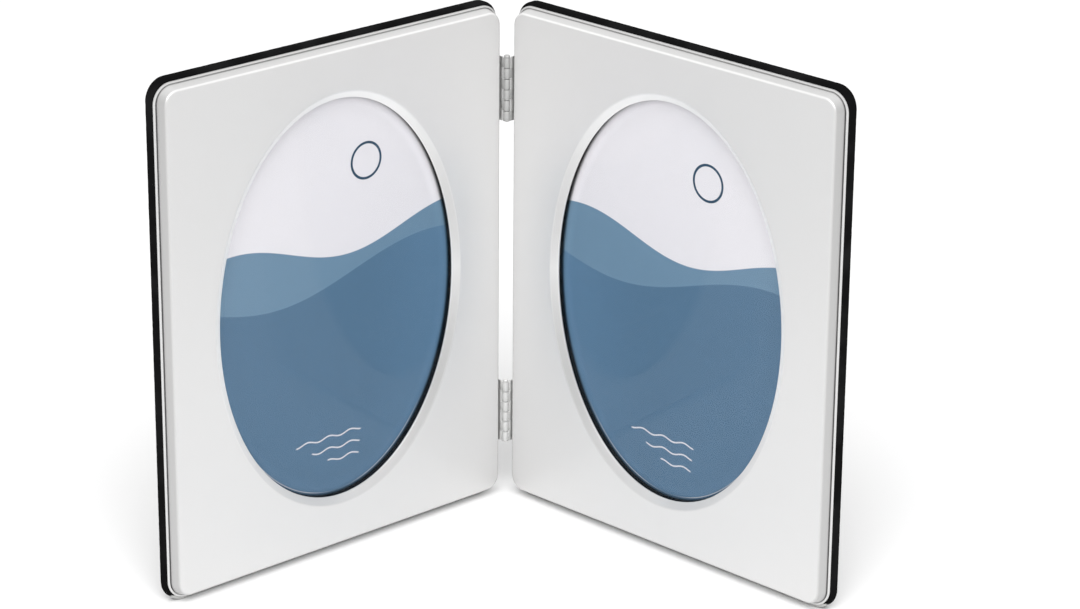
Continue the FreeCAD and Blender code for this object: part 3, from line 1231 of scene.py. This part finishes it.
def box_helper(panel: PanelFrame, low: Vector, high: Vector) -> bpy.types.Object:
    """Helper box that stands square to a panel.

    Args:
        panel: The panel.
        low: Lowest corner in panel coordinates.
        high: Highest corner.

    Returns:
        The box.
    """
    corners = ((low.y, low.z), (high.y, low.z), (high.y, high.z), (low.y, high.z))
    mesher = Mesher("helper_box")
    rings = [mesher.ring(panel.at(out, back, up) for back, up in corners) for out in (low.x, high.x)]
    mesher.loft(rings, closed=False)
    return temporary("helper_box", mesher.data())


def cut_away(piece: bpy.types.Object, cutter: bpy.types.Object) -> bpy.types.Mesh:
    """Cuts a helper's space out of a piece and removes the helper.

    Args:
        piece: The piece, which keeps its own mesh.
        cutter: The helper.

    Returns:
        The plain mesh with the cut.
    """
    cut = piece.modifiers.new("cut", "BOOLEAN")
    cut.operation = "DIFFERENCE"
    cut.solver = "EXACT"
    cut.object = cutter
    data = baked(piece)
    piece.modifiers.remove(cut)
    bpy.data.objects.remove(cutter)
    return data


def stud(panel: PanelFrame, node: str, name: str, part: bpy.types.Mesh, material: bpy.types.Material,
         repeat: Repeater, sharp: float = 35.0) -> None:
    """Puts a small fitting wherever a panel's node has a solid, as one piece.

    Args:
        panel: The panel.
        node: Name of the node without its side.
        name: Name of the piece without its side.
        part: The fitting, about its own middle.
        material: The fittings' finish.
        repeat: The tree that puts a part on places.
        sharp: Edges that turn by more degrees than this stay crisp.
    """
    places = bpy.data.meshes.new(f"{node}_places")
    places.from_pydata([tuple(place) for place in islands(panel, panel.node(node))], [], [])
    data = repeat.run(places, part, panel.node(name), Part_Size=1.0, Material=material)
    piece = shown(panel.node(name), data, material, sharp)
    seat(piece, panel.body, "nickel_steel", panel.node(node))


def lathe_mesh(name: str, profile: Sequence[tuple[float, float]], axis: Vector, steps: int) -> bpy.types.Mesh:
    """Closed solid of revolution about an axis through the origin.

    Args:
        name: Name of the mesh.
        profile: Radius and height pairs from one end to the other, with a radius of zero at both ends.
        axis: Unit direction of rising height.
        steps: Number of sides.

    Returns:
        The mesh.
    """
    turn = UP.rotation_difference(axis).to_matrix()
    angles = [math.tau * i / steps for i in range(steps)]
    around = [Vector((math.cos(angle), math.sin(angle), 0.0)) for angle in angles]
    mesher = Mesher(name)
    rings = [mesher.ring(turn @ (way * radius + UP * height) for way in around) for radius, height in profile]
    mesher.loft(rings, closed=False)
    bmesh.ops.remove_doubles(mesher.mesh, verts=mesher.mesh.verts, dist=MERGE)
    return mesher.data()


@dataclass
class FrontPlate:
    """Pressed silver-plated plate: face, shoulder, skirt, crease, lip and the oval's coined rim.

    Painted light and shade: each table gives a painted value for the side away from the fold, the fold side,
    the top and the bottom.
    """

    panel: PanelFrame
    finish: bpy.types.Material
    outline_radius: float = 6.5 * MM
    sheet: float = 0.6 * MM
    lip_thickness: float = 0.7 * MM
    lip_width: float = 0.65 * MM
    crease_width: float = 0.25 * MM
    crease_depth: float = 0.3 * MM
    bevel_run: float = 0.85 * MM
    shoulder_radius: float = 0.8 * MM
    shoulder_steps: int = 9
    bevel_stages: tuple[float, float] = (0.45, 0.7)
    bevel_foot: float = 0.4 * MM
    face_margin: float = 0.6 * MM
    edge: float = 0.12 * MM
    rim_width: float = 2.4 * MM
    rim_depth: float = 1.5 * MM
    rim_roll: float = 1.6 * MM
    roll_steps: int = 5
    side_cover: float = 1.85 * MM
    end_cover: float = 6.8 * MM
    # Painted light and shade: the tables below lighten or darken the bevel, shoulder, crease, rim and rim
    # edge by side, and glare lowers the oval's painted values on its slanting parts toward the fold.
    bevel_painted_light: tuple[float, float, float, float] = (0.69, 0.85, 1.08, 0.9)
    shoulder_painted_highlight: tuple[float, float, float, float] = (0.97, 1.0, 1.3, 1.0)
    crease_painted_shade: tuple[float, float, float, float] = (0.95, 0.6, 0.4, 0.1)
    rim_painted_light: tuple[float, float, float, float] = (1.5, 0.87, 1.5, 0.93)
    rim_edge_painted_highlight: tuple[float, float, float, float] = (1.6, 1.05, 1.6, 0.93)
    glare: float = 0.55
    crisp: float = 38.0

    def __post_init__(self) -> None:
        """Reads the plate's outline and depth, and the print that it frames."""
        low, high = self.panel.extent("front_plate")
        self.front = low.y
        self.depth = high.y - low.y
        self.path = RoundedPath(low, high, self.outline_radius)
        print_low, print_high = self.panel.extent("picture_print")
        self.oval = OvalPath.facing(self.path, (print_high.x - print_low.x) / 2 - self.side_cover,
                                    (print_high.z - print_low.z) / 2 - self.end_cover)

    def skirt_profile(self) -> list[tuple[float, ...]]:
        """Outer rings, from the face to inside the skirt.

        Returns:
            Inset and depth of each ring, with its shares of painted crease shade, painted bevel light and
            painted shoulder highlight.
        """
        lip_front = self.depth - self.lip_thickness
        foot = self.lip_width + self.crease_width
        slope = math.atan2(self.bevel_run, lip_front)
        shoulder_run = self.shoulder_radius * math.tan((math.pi / 2 - slope) / 2)
        top = foot + self.bevel_run + shoulder_run
        wall = self.sheet / math.cos(slope)
        arc = arc_profile((top, self.shoulder_radius), self.shoulder_radius, -90,
                          -180 + math.degrees(slope), self.shoulder_steps)
        soft = self.edge
        bottom = lip_front + self.crease_depth
        rows = [(top + self.face_margin, 0.0)]
        for step, (inset, depth) in enumerate(arc):
            turned = step / self.shoulder_steps
            rows.append((inset, depth, 0.0, turned, math.sin(math.pi * turned)))
        for stage in (*self.bevel_stages, 1 - self.bevel_foot / lip_front):
            rows.append((foot + self.bevel_run * (1 - stage), lip_front * stage, 0.0, 1.0))
        rows += [(foot, lip_front, 0.75, 1.0),
                 (foot, bottom, 1.0, 1.0),
                 (self.lip_width, bottom, 1.0),
                 (self.lip_width, lip_front + soft, 0.8),
                 (self.lip_width - soft, lip_front),
                 (soft, lip_front),
                 (soft * 0.3, lip_front + soft * 0.3),
                 (0.0, lip_front + soft),
                 (0.0, self.depth - soft),
                 (soft, self.depth),
                 (foot + wall, self.depth),
                 (foot + wall, lip_front),
                 (foot + self.bevel_run * (1 - self.sheet / lip_front) + wall, self.sheet),
                 (top + wall, self.sheet)]
        return filled(rows)

    def rim_profile(self) -> list[tuple[float, ...]]:
        """Inner rings, from behind the face to its front.

        Returns:
            Growth and depth of each ring, with its shares of painted crease shade, painted slope light and
            painted edge highlight.
        """
        slope = math.atan2(self.rim_depth, self.rim_width)
        fall = self.rim_depth / self.rim_width
        run = self.rim_roll * math.tan(slope / 2)
        roll = arc_profile((self.rim_width + run, self.rim_roll), self.rim_roll,
                           -90 - math.degrees(slope), -90, self.roll_steps)
        soft = self.edge
        behind = self.rim_depth + self.sheet
        rows = [(self.rim_width + run, self.sheet),
                (self.rim_width, self.sheet),
                (soft, behind - soft * 0.6, 0.0, 1.0),
                (0.0, behind - soft, 0.2, 1.0),
                (0.0, self.rim_depth + soft, 0.1, 0.0, 1.0),
                (soft * 0.25, self.rim_depth + soft * 0.15, 0.0, 0.0, 1.0),
                (soft, self.rim_depth - soft * fall, 0.0, 0.0, 1.0),
                (soft * 2, self.rim_depth - soft * 2 * fall, 0.0, 1.0)]
        for step, (growth, depth) in enumerate(roll):
            rows.append((growth, depth, 0.0, 1 - step / self.roll_steps))
        rows += [(self.rim_width + run + self.face_margin, 0.0)]
        return filled(rows)

    def painted_tones(self, path: Any, table: tuple[float, float, float, float]) -> list[float]:
        """Painted light and shade of a sloping band at each point round a path.

        Args:
            path: The path that the band follows.
            table: Painted value on the side away from the fold, on the fold side, at the top and at the
                bottom.

        Returns:
            One painted value for each point.
        """
        away, near, top, bottom = table
        found = []
        for (out, up), (inner_out, inner_up) in zip(path.points(0.0), path.points(MM)):
            toward = Vector((out - inner_out, up - inner_up)) * (1 if path is self.path else -1)
            toward.normalize()
            across = away if toward.x > 0 else near
            along = top if toward.y > 0 else bottom
            # Painted shade: glare lowers the oval's painted values on its slanting parts toward the fold.
            glare = self.glare if path is self.oval and toward.x < 0 else 0.0
            found.append(across * toward.x ** 2 + along * toward.y ** 2 - glare * abs(toward.x * toward.y))
        return found

    def build(self) -> None:
        """Builds the plate and seats it in place of its node."""
        mesher = Mesher(self.panel.node("front_plate_pressing"))
        crease_layer = mesher.mesh.verts.layers.float.new("crease")
        painted_tone_layer = mesher.mesh.verts.layers.float.new("tone")
        rings = []
        families = (
            (self.path, self.skirt_profile(), self.crease_painted_shade, self.bevel_painted_light, self.shoulder_painted_highlight),
            (self.oval, self.rim_profile(), (1.0, 1.0, 1.0, 1.0), self.rim_painted_light, self.rim_edge_painted_highlight))
        for path, rows, *tables in families:
            around = list(zip(*(self.painted_tones(path, table) for table in tables)))
            for offset, depth, crease, slope_share, edge_share in rows:
                places = [self.panel.at(out, self.front + depth, up) for out, up in path.points(offset)]
                ring = mesher.ring(places)
                for vertex, (strength, slope, edge) in zip(ring, around):
                    # Painted shade and light: the crease share paints the crease dark, and the tone paints
                    # the bevel, shoulder, rim and rim edge lighter or darker by side.
                    vertex[crease_layer] = crease * strength
                    vertex[painted_tone_layer] = 1 + (slope - 1) * slope_share + (edge - 1) * edge_share
                rings.append(ring)
        mesher.loft(rings, closed=True)
        piece = mesher.finish(self.finish, self.crisp)
        seat(piece, self.panel.body, "silver_plate", self.panel.node("front_plate"))


@dataclass
class Glazing:
    """Everything between the plate and the back: glass, print, glazing frame and pressure card."""

    panel: PanelFrame
    glass_finish: bpy.types.Material
    print_finish: bpy.types.Material
    board_finish: bpy.types.Material
    card_finish: bpy.types.Material
    corner: float = 0.6 * MM
    glass_arris: float = 0.25 * MM
    paper_edge: float = 0.03 * MM
    board_edge: float = 0.1 * MM
    air: float = 0.02 * MM
    corner_steps: int = 6
    side_steps: int = 2
    crisp: float = 30.0

    def slab(self, name: str, node: str, finish: bpy.types.Material, edge: float) -> bpy.types.Object:
        """Flat slab with softened edges and a film of air on both faces, with a map of its face in metres.

        Args:
            name: Name of the piece.
            node: Name of the node without its side.
            finish: The piece's material.
            edge: Width of the softened edges.

        Returns:
            The piece.
        """
        low, high = self.panel.extent(node)
        low.y += self.air
        high.y -= self.air
        path = RoundedPath(low, high, self.corner, self.corner_steps, self.side_steps)
        mesher = Mesher(name)
        rings = []
        for inset, back in ((edge, low.y), (0.0, low.y + edge), (0.0, high.y - edge), (edge, high.y)):
            rings.append(mesher.ring(self.panel.at(out, back, up) for out, up in path.points(inset)))
        mesher.loft(rings, closed=False)
        sheet = mesher.mesh.loops.layers.uv.new("sheet")
        direction = 1 if self.panel.side is Side.RIGHT else -1
        start = low.x if direction == 1 else high.x
        for face in mesher.mesh.faces:
            for loop in face.loops:
                place = self.panel.local(loop.vert.co)
                loop[sheet].uv = ((place.x - start) * direction, place.z - low.z)
        return mesher.finish(finish, self.crisp)

    def build(self) -> None:
        """Builds the four pieces."""
        own, body = self.panel.node, self.panel.body
        glass = self.slab(own("glass_pane"), "glass", self.glass_finish, self.glass_arris)
        seat(glass, body, "clear_glass", own("glass"))
        paper = self.slab(own("printed_sheet"), "picture_print", self.print_finish, self.paper_edge)
        seat(paper, body, "printed_paper", own("picture_print"))
        board = refined(own("glazing_frame"), own("glazing_board"), self.board_finish, self.board_edge)
        seat(board, body, "fibreboard", own("glazing_frame"))
        card = self.slab(own("grey_card"), "pressure_card", self.card_finish, self.board_edge)
        seat(card, body, "grey_card", own("pressure_card"))


@dataclass
class VelvetBack:
    """Velvet-covered surround and the velvet-covered panel that closes its window."""

    panel: PanelFrame
    finish: bpy.types.Material
    outline_radius: float = 7.0 * MM
    window_radius: float = 2.5 * MM
    panel_play: float = 0.5 * MM
    front_round: float = 0.8 * MM
    foot_height: float = 2.5 * MM
    back_round: float = 0.7 * MM
    window_round: float = 0.4 * MM
    pile: float = 0.05 * MM
    tuft: float = 0.8 * MM
    recess_floor: float = 1.0 * MM
    recess_play: float = 0.03 * MM
    recess_overshoot: float = 2.0 * MM
    front_margin: float = 4.0
    back_margin: float = 3.0
    front_steps: int = 4
    side_rows: int = 4
    back_steps: int = 6
    board_steps: tuple[int, int] = (14, 150)
    panel_steps: tuple[int, int] = (10, 120)
    crisp: float = 60.0

    def fuzz(self, point: Vector) -> Vector:
        """Moves a surface point by the pile's unevenness."""
        return point + noise.noise_vector(point / self.tuft) * self.pile

    def edge_rows(self, depth: float, front: float, back: float) -> list[tuple[float, float]]:
        """Profile round a board's edge, from its front face to its back face.

        Args:
            depth: The board's thickness.
            front: Rounding of the front edge.
            back: Rounding of the back edge.

        Returns:
            Inset and depth of each row.
        """
        side = depth - front - back
        rows = [(front * self.front_margin, 0.0)]
        rows += arc_profile((front, front), front, -90, -180, self.front_steps)
        rows += [(0.0, front + side * row / self.side_rows) for row in range(1, self.side_rows)]
        rows += arc_profile((back, depth - back), back, 180, 90, self.back_steps)
        return rows + [(back * self.back_margin, depth)]

    def covered(self, mesher: Mesher, path: RoundedPath, front: float,
                rows: Iterable[tuple[float, float]]) -> list[list[bmesh.types.BMVert]]:
        """Adds a ring of velvet for each row of a profile.

        Args:
            mesher: The piece that takes the rings.
            path: The outline that they follow.
            front: Place of the board's front face.
            rows: Inset and depth of each ring.

        Returns:
            The rings.
        """
        return [mesher.ring(self.fuzz(self.panel.at(out, front + back, up)) for out, up in path.points(inset))
                for inset, back in rows]

    def build_surround(self) -> None:
        """Builds the board with the window."""
        low, high = self.panel.extent("back_surround")
        panel_low, panel_high = self.panel.extent("back_panel")
        play = Vector((self.panel_play, 0, self.panel_play))
        outside = RoundedPath(low, high, self.outline_radius, *self.board_steps)
        inside = RoundedPath(panel_low - play, panel_high + play, self.window_radius, *self.board_steps)
        depth = high.y - low.y
        mesher = Mesher(self.panel.node("velvet_surround"))
        floor_light_layer = mesher.mesh.verts.layers.float.new("foot")
        outer = self.edge_rows(depth, self.front_round, self.back_round)
        rings = self.covered(mesher, outside, low.y, outer)
        for (_, back), ring in zip(outer, rings):
            for vertex in ring:
                # Painted light: the lowest strip of the front face is marked for the velvet's pale painted
                # foot.
                vertex[floor_light_layer] = float(back < self.front_round and vertex.co.z < self.foot_height)
        inner = self.edge_rows(depth, self.window_round, self.window_round)
        rings += self.covered(mesher, inside, low.y, [(-inset, back) for inset, back in reversed(inner)])
        mesher.loft(rings, closed=True)
        board = mesher.finish(self.finish, self.crisp)
        for end in End:
            self.cut_recess(board, end, low.y)
        board.data.name = board.name
        seat(board, self.panel.body, "black_velvet", self.panel.node("back_surround"))

    def cut_recess(self, board: bpy.types.Object, end: End, front: float) -> None:
        """Cuts the shallow bed of one hinge leaf into the board's side.

        Args:
            board: The board.
            end: Which hinge.
            front: Place of the board's front face.
        """
        leaf_low, leaf_high = self.panel.extent(f"{end.value}_hinge_leaf")
        play, past = self.recess_play, self.recess_overshoot
        cutter = box_helper(self.panel, Vector((-past, front - past, leaf_low.z - play)),
                            Vector((self.recess_floor, leaf_high.y + play, leaf_high.z + play)))
        board.data = cut_away(board, cutter)

    def build_panel(self) -> None:
        """Builds the board that closes the window."""
        low, high = self.panel.extent("back_panel")
        path = RoundedPath(low, high, self.window_radius - self.panel_play, *self.panel_steps)
        mesher = Mesher(self.panel.node("velvet_back_panel"))
        rows = self.edge_rows(high.y - low.y, self.window_round, self.window_round)
        mesher.loft(self.covered(mesher, path, low.y, rows), closed=False)
        piece = mesher.finish(self.finish, self.crisp)
        seat(piece, self.panel.body, "black_velvet", self.panel.node("back_panel"))

    def build(self) -> None:
        """Builds both boards."""
        self.build_surround()
        self.build_panel()


@dataclass
class TurnButtons:
    """Turn-buttons on a panel's back, with their domed rivets."""

    panel: PanelFrame
    finish: bpy.types.Material
    repeat: Repeater
    edge: float = 0.09 * MM
    head_radius: float = 1.9 * MM
    head_height: float = 0.7 * MM
    shank_radius: float = 0.9 * MM
    dome_steps: int = 6
    sides: int = 32

    def rivet_profile(self, reach: float) -> list[tuple[float, float]]:
        """Half section of a rivet, from its tail to the top of its dome.

        Args:
            reach: Length from the tail to the top of the head.

        Returns:
            Radius and height pairs about the rivet's middle.
        """
        top = reach / 2
        seat_height = top - self.head_height
        dome_radius = (self.head_radius ** 2 + self.head_height ** 2) / (2 * self.head_height)
        rows = [(0.0, -top), (self.shank_radius, -top), (self.shank_radius, seat_height),
                (self.head_radius - self.edge, seat_height),
                (self.head_radius, seat_height + self.edge)]
        for step in range(1, self.dome_steps):
            rise = math.sin(math.pi / 2 * step / self.dome_steps)
            height = self.edge + (self.head_height - self.edge) * rise
            spread = math.sqrt(dome_radius ** 2 - (dome_radius - self.head_height + height) ** 2)
            rows.append((min(spread, self.head_radius), seat_height + height))
        return rows + [(0.0, top)]

    def build_rivets(self) -> None:
        """Builds the panel's four rivets as one piece."""
        low, high = self.panel.extent("button_rivets")
        profile = self.rivet_profile(high.y - low.y)
        rivet = lathe_mesh("rivet", profile, self.panel.backward, self.sides)
        stud(self.panel, "button_rivets", "turn_button_rivets", rivet, self.finish, self.repeat)

    def build(self) -> None:
        """Builds the buttons and their rivets."""
        for end in End:
            for way in Way:
                node = self.panel.node(f"turn_button_{end.value}_{way.value}")
                piece = refined(node, f"{node}_clip", self.finish, self.edge)
                seat(piece, node, "nickel_steel", node)
        self.build_rivets()


@dataclass
class HingeSide:
    """One panel's share of the two hinges: its leaves with their rolled knuckles, and its screws."""

    panel: PanelFrame
    finish: bpy.types.Material
    places: Repeater
    line: Repeater
    leaf: float = 0.52 * MM
    barrel: float = 1.22 * MM
    bevel_share: float = 0.6
    leaf_outer: float = 0.97 * MM
    notch: float = 1.42 * MM
    pairs: int = 3
    gap: float = 0.26 * MM
    corner: float = 0.8 * MM
    edge: float = 0.08 * MM
    corner_steps: int = 6
    curl_steps: int = 30
    seam: float = 68.0
    crisp: float = 35.0
    screw_crisp: float = 30.0
    screw_sides: int = 28
    screw_rim: float = 0.04 * MM
    screw_arris: float = 0.05 * MM
    screw_head: float = 1.15 * MM
    screw_shank: float = 0.6 * MM
    screw_sink: float = 0.45 * MM
    slot_width: float = 0.3 * MM
    slot_depth: float = 0.2 * MM

    def knuckle_mesh(self, height: float) -> bpy.types.Mesh:
        """One rolled knuckle with its web, about the fold axis and centred on height zero.

        Args:
            height: The knuckle's length along the pin.

        Returns:
            The mesh.
        """
        bore, inner, root = self.barrel - self.leaf, self.leaf_outer - self.leaf, self.notch + self.leaf
        seam = -360 + self.seam
        section = [(self.leaf_outer, root), (self.leaf_outer, self.notch)]
        section += arc_profile((0, 0), self.barrel, 0, seam, self.curl_steps)
        section += arc_profile((0, 0), bore, seam, 0, self.curl_steps)
        section += [(inner, self.notch), (inner, root)]
        tapered = []
        for (out, back), before, after in zip(section, section[-1:] + section, section[1:] + section[:1]):
            run = Vector((after[0] - before[0], after[1] - before[1])).normalized()
            pull = self.edge * self.bevel_share
            tapered.append((out + run.y * pull, back - run.x * pull))
        top, soft = height / 2, self.edge
        rows = ((tapered, -top), (section, soft - top), (section, top - soft), (tapered, top))
        mesher = Mesher("knuckle")
        rings = [mesher.ring(self.panel.at(out, back, rise) for out, back in outline)
                 for outline, rise in rows]
        mesher.loft(rings, closed=False)
        caps = [face for face in mesher.mesh.faces if len(face.verts) > 4]
        mesher.mesh.normal_update()
        bmesh.ops.triangulate(mesher.mesh, faces=caps)
        return mesher.data()

    def leaf_mesh(self, low: Vector, high: Vector) -> bpy.types.Mesh:
        """Flat part of a leaf, which the screws' heads sink into.

        Args:
            low: Lowest corner of the leaf's node in panel coordinates.
            high: Highest corner.

        Returns:
            The mesh.
        """
        inner, soft, corner = self.leaf_outer - self.leaf, self.edge, self.corner
        outline = [(self.notch, low.z)]
        outline += arc_profile((high.y - corner, low.z + corner), corner, -90, 0, self.corner_steps)
        outline += arc_profile((high.y - corner, high.z - corner), corner, 0, 90, self.corner_steps)
        outline += [(self.notch, high.z)]
        middle = Vector(((self.notch + high.y) / 2, (low.z + high.z) / 2))
        pulls = [(middle - Vector(place)).normalized() for place in outline]
        mesher = Mesher("leaf")
        rings = []
        for out, inset in ((inner, soft), (inner + soft, 0.0), (self.leaf_outer - soft, 0.0),
                           (self.leaf_outer, soft)):
            rings.append(mesher.ring(self.panel.at(out, back + pull.x * inset, up + pull.y * inset)
                                     for (back, up), pull in zip(outline, pulls)))
        mesher.loft(rings, closed=False)
        return mesher.data()

    def build_leaf(self, end: End) -> None:
        """Builds one leaf with its knuckles.

        Args:
            end: Which hinge.
        """
        node = self.panel.node(f"{end.value}_hinge_leaf")
        name = self.panel.node(f"{end.value}_rolled_leaf")
        low, high = self.panel.extent(f"{end.value}_hinge_leaf")
        pitch = (high.z - low.z) / (2 * self.pairs)
        first_row = 1 if self.panel.side is Side.LEFT else 0
        start = UP * (low.z + (first_row + 0.5) * pitch)
        data = self.line.run(self.leaf_mesh(low, high), self.knuckle_mesh(pitch - self.gap), name,
                             Count=self.pairs, Start=start, Pitch=UP * 2 * pitch, Material=self.finish)
        seat(shown(name, data, self.finish, self.crisp), self.panel.body, "nickel_steel", node)

    def screw_mesh(self, length: float) -> bpy.types.Mesh:
        """One slotted countersunk screw about its own middle, pointing away from the fold.

        Args:
            length: The screw's whole length.

        Returns:
            The mesh.
        """
        half = length / 2
        profile = [(0.0, half), (self.screw_shank, half), (self.screw_shank, self.screw_sink - half),
                   (self.screw_head, self.screw_rim - half), (self.screw_head - self.screw_arris, -half),
                   (0.0, -half)]
        body = temporary("screw", lathe_mesh("screw", profile, self.panel.outward, self.screw_sides))
        reach = Vector((self.slot_depth, 2 * self.screw_head, self.slot_width / 2))
        middle = Vector((-half, 0.0, 0.0)) + self.panel.local(Vector((0.0, 0.0, 0.0)))
        cutter = box_helper(self.panel, middle - reach, middle + reach)
        data = cut_away(body, cutter)
        bpy.data.objects.remove(body)
        return data

    def build_screws(self) -> None:
        """Builds the panel's four hinge screws as one piece."""
        low, high = self.panel.extent("hinge_screws")
        screw = self.screw_mesh(high.x - low.x)
        stud(self.panel, "hinge_screws", "slotted_screws", screw, self.finish, self.places, self.screw_crisp)

    def build(self) -> None:
        """Builds both leaves and the screws."""
        for end in End:
            self.build_leaf(end)
        self.build_screws()


@dataclass
class HingePin:
    """Headed pin of one hinge."""

    end: End
    finish: bpy.types.Material
    shank: float = 0.65 * MM
    head: float = 1.0 * MM
    head_height: float = 0.8 * MM
    head_round: float = 0.5 * MM
    tail_round: float = 0.15 * MM
    crown_steps: int = 6
    sides: int = 32
    crisp: float = 35.0

    def build(self) -> None:
        """Builds the pin and seats it on the left panel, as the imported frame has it."""
        node = f"{self.end.value}_hinge_pin"
        low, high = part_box(node)
        middle = (low + high) / 2
        half = (high.z - low.z) / 2
        seat_height = half - self.head_height
        profile = [(0.0, -half), (self.shank - self.tail_round, -half), (self.shank, self.tail_round - half),
                   (self.shank, seat_height), (self.head, seat_height)]
        profile += arc_profile((self.head - self.head_round, half - self.head_round), self.head_round, 0, 90,
                               self.crown_steps)
        profile += [(0.0, half)]
        data = lathe_mesh(f"{node}_turned", profile, UP, self.sides)
        data.transform(Matrix.Translation(middle))
        piece = shown(f"{node}_turned", data, self.finish, self.crisp)
        seat(piece, "left_panel", "nickel_steel", node)


@dataclass(frozen=True)
class Studio:
    """White table top, soft light and the camera."""

    floor_half: float = 6.0
    floor_colour: tuple[float, float, float] = (0.92, 0.92, 0.92)
    mottle_size: float = 0.4
    mottle_tone: float = 0.995
    floor_roughness: float = 0.9
    floor_gloss: float = 0.1
    floor_crisp: float = 30.0
    sky_colour: tuple[float, float, float] = (1.0, 1.0, 1.0)
    sky_strength: float = 0.82
    key_power: float = 58.0
    key_size: float = 2.0
    key_place: tuple[float, float, float] = (0.0, -1.8, 1.9)
    axis_out: float = 24.07 * MM
    camera_distance: float = 1150.1 * MM
    camera_height: float = 509.6 * MM
    yaw: float = -0.627
    pitch: float = 20.957
    roll: float = 0.473
    focal_pixels: float = 3662.3
    frame_pixels: float = 1080.0
    sensor: float = 36.0
    far_end: float = 50.0

    def build_floor(self) -> None:
        """Lays the table top that the frame stands on."""
        data = bpy.data.meshes.new("table_top")
        reach = self.floor_half
        data.from_pydata([(-reach, -reach, 0), (reach, -reach, 0), (reach, reach, 0), (-reach, reach, 0)], [],
                         [(0, 1, 2, 3)])
        shader = Shader("table_white")
        mottle = shader.grain(self.mottle_size, Detail.SOFT)
        darker = [channel * self.mottle_tone for channel in self.floor_colour]
        colour = shader.blend(mottle, darker, self.floor_colour)
        body = shader.principled(Base_Color=colour, Roughness=self.floor_roughness,
                                 Specular_IOR_Level=self.floor_gloss)
        floor = shown("table_top", data, shader.surface(body.outputs[0]), self.floor_crisp)

    def build_light(self) -> None:
        """Sets an even pale surround and one large soft light above the viewer."""
        world = bpy.data.worlds.new("studio")
        bpy.context.scene.world = world
        world.use_nodes = True
        background = world.node_tree.nodes["Background"]
        background.inputs["Color"].default_value = (*self.sky_colour, 1.0)
        background.inputs["Strength"].default_value = self.sky_strength
        light = bpy.data.lights.new("key", "AREA")
        light.shape = "SQUARE"
        light.size = self.key_size
        light.energy = self.key_power
        lamp = bpy.data.objects.new("key", light)
        place = Vector(self.key_place)
        lamp.matrix_world = Matrix.Translation(place) @ place.to_track_quat("Z", "Y").to_matrix().to_4x4()
        bpy.context.scene.collection.objects.link(lamp)

    def build_camera(self) -> None:
        """Puts the camera where the photograph was taken from."""
        fold = Vector(next(joint for joint in frame["joints"] if joint["name"] == "fold")["pos_m"])
        yaw, pitch, roll = (math.radians(angle) for angle in (self.yaw, self.pitch, self.roll))
        ahead = Vector((math.sin(yaw) * math.cos(pitch), math.cos(yaw) * math.cos(pitch), -math.sin(pitch)))
        right = Vector((math.cos(yaw), -math.sin(yaw), 0.0))
        above = right.cross(ahead)
        tilted_right = right * math.cos(roll) + above * math.sin(roll)
        tilted_above = above * math.cos(roll) - right * math.sin(roll)
        data = bpy.data.cameras.new("viewer")
        data.sensor_fit = "HORIZONTAL"
        data.sensor_width = self.sensor
        data.lens = self.focal_pixels / self.frame_pixels * self.sensor
        data.clip_end = self.far_end
        camera = bpy.data.objects.new("viewer", data)
        turn = Matrix((tilted_right, tilted_above, -ahead)).transposed().to_4x4()
        place = Vector((fold.x + self.axis_out, fold.y - self.camera_distance, self.camera_height))
        camera.matrix_world = Matrix.Translation(place) @ turn
        bpy.context.scene.collection.objects.link(camera)
        bpy.context.scene.camera = camera

    def build(self) -> None:
        """Builds the whole studio."""
        self.build_floor()
        self.build_light()
        self.build_camera()
        bpy.context.scene.view_settings.view_transform = "Standard"


@dataclass
class PhotoFrame:
    """The whole frame: two panels, their backs and the hinges between them."""

    silver: bpy.types.Material = field(default_factory=lambda: SilverPlate().material())
    glass: bpy.types.Material = field(default_factory=lambda: ClearGlass().material())
    paper: bpy.types.Material = field(default_factory=lambda: PlaceholderPrint().material())
    velvet: bpy.types.Material = field(default_factory=lambda: BlackVelvet().material())
    metal: bpy.types.Material = field(default_factory=lambda: BrightMetal().material())

    def build(self) -> None:
        """Builds every piece in order."""
        board = PressedBoard("fibreboard", (0.42, 0.27, 0.15), (0.56, 0.4, 0.25)).material()
        card = PressedBoard("grey_card", (0.33, 0.32, 0.3), (0.46, 0.45, 0.43)).material()
        places, line = place_repeater(), line_repeater()
        for side in Side:
            panel = PanelFrame.of(side)
            FrontPlate(panel, self.silver).build()
            Glazing(panel, self.glass, self.paper, board, card).build()
            VelvetBack(panel, self.velvet).build()
            TurnButtons(panel, self.metal, places).build()
            HingeSide(panel, self.metal, places, line).build()
        for end in End:
            HingePin(end, self.metal).build()


def main() -> None:
    """Builds the frame and its studio."""
    logging.basicConfig(level=logging.INFO, format="%(name)s: %(message)s")
    noise.seed_set(PILE_SEED)
    PhotoFrame().build()
    Studio().build()


if __name__ == "__main__":
    main()
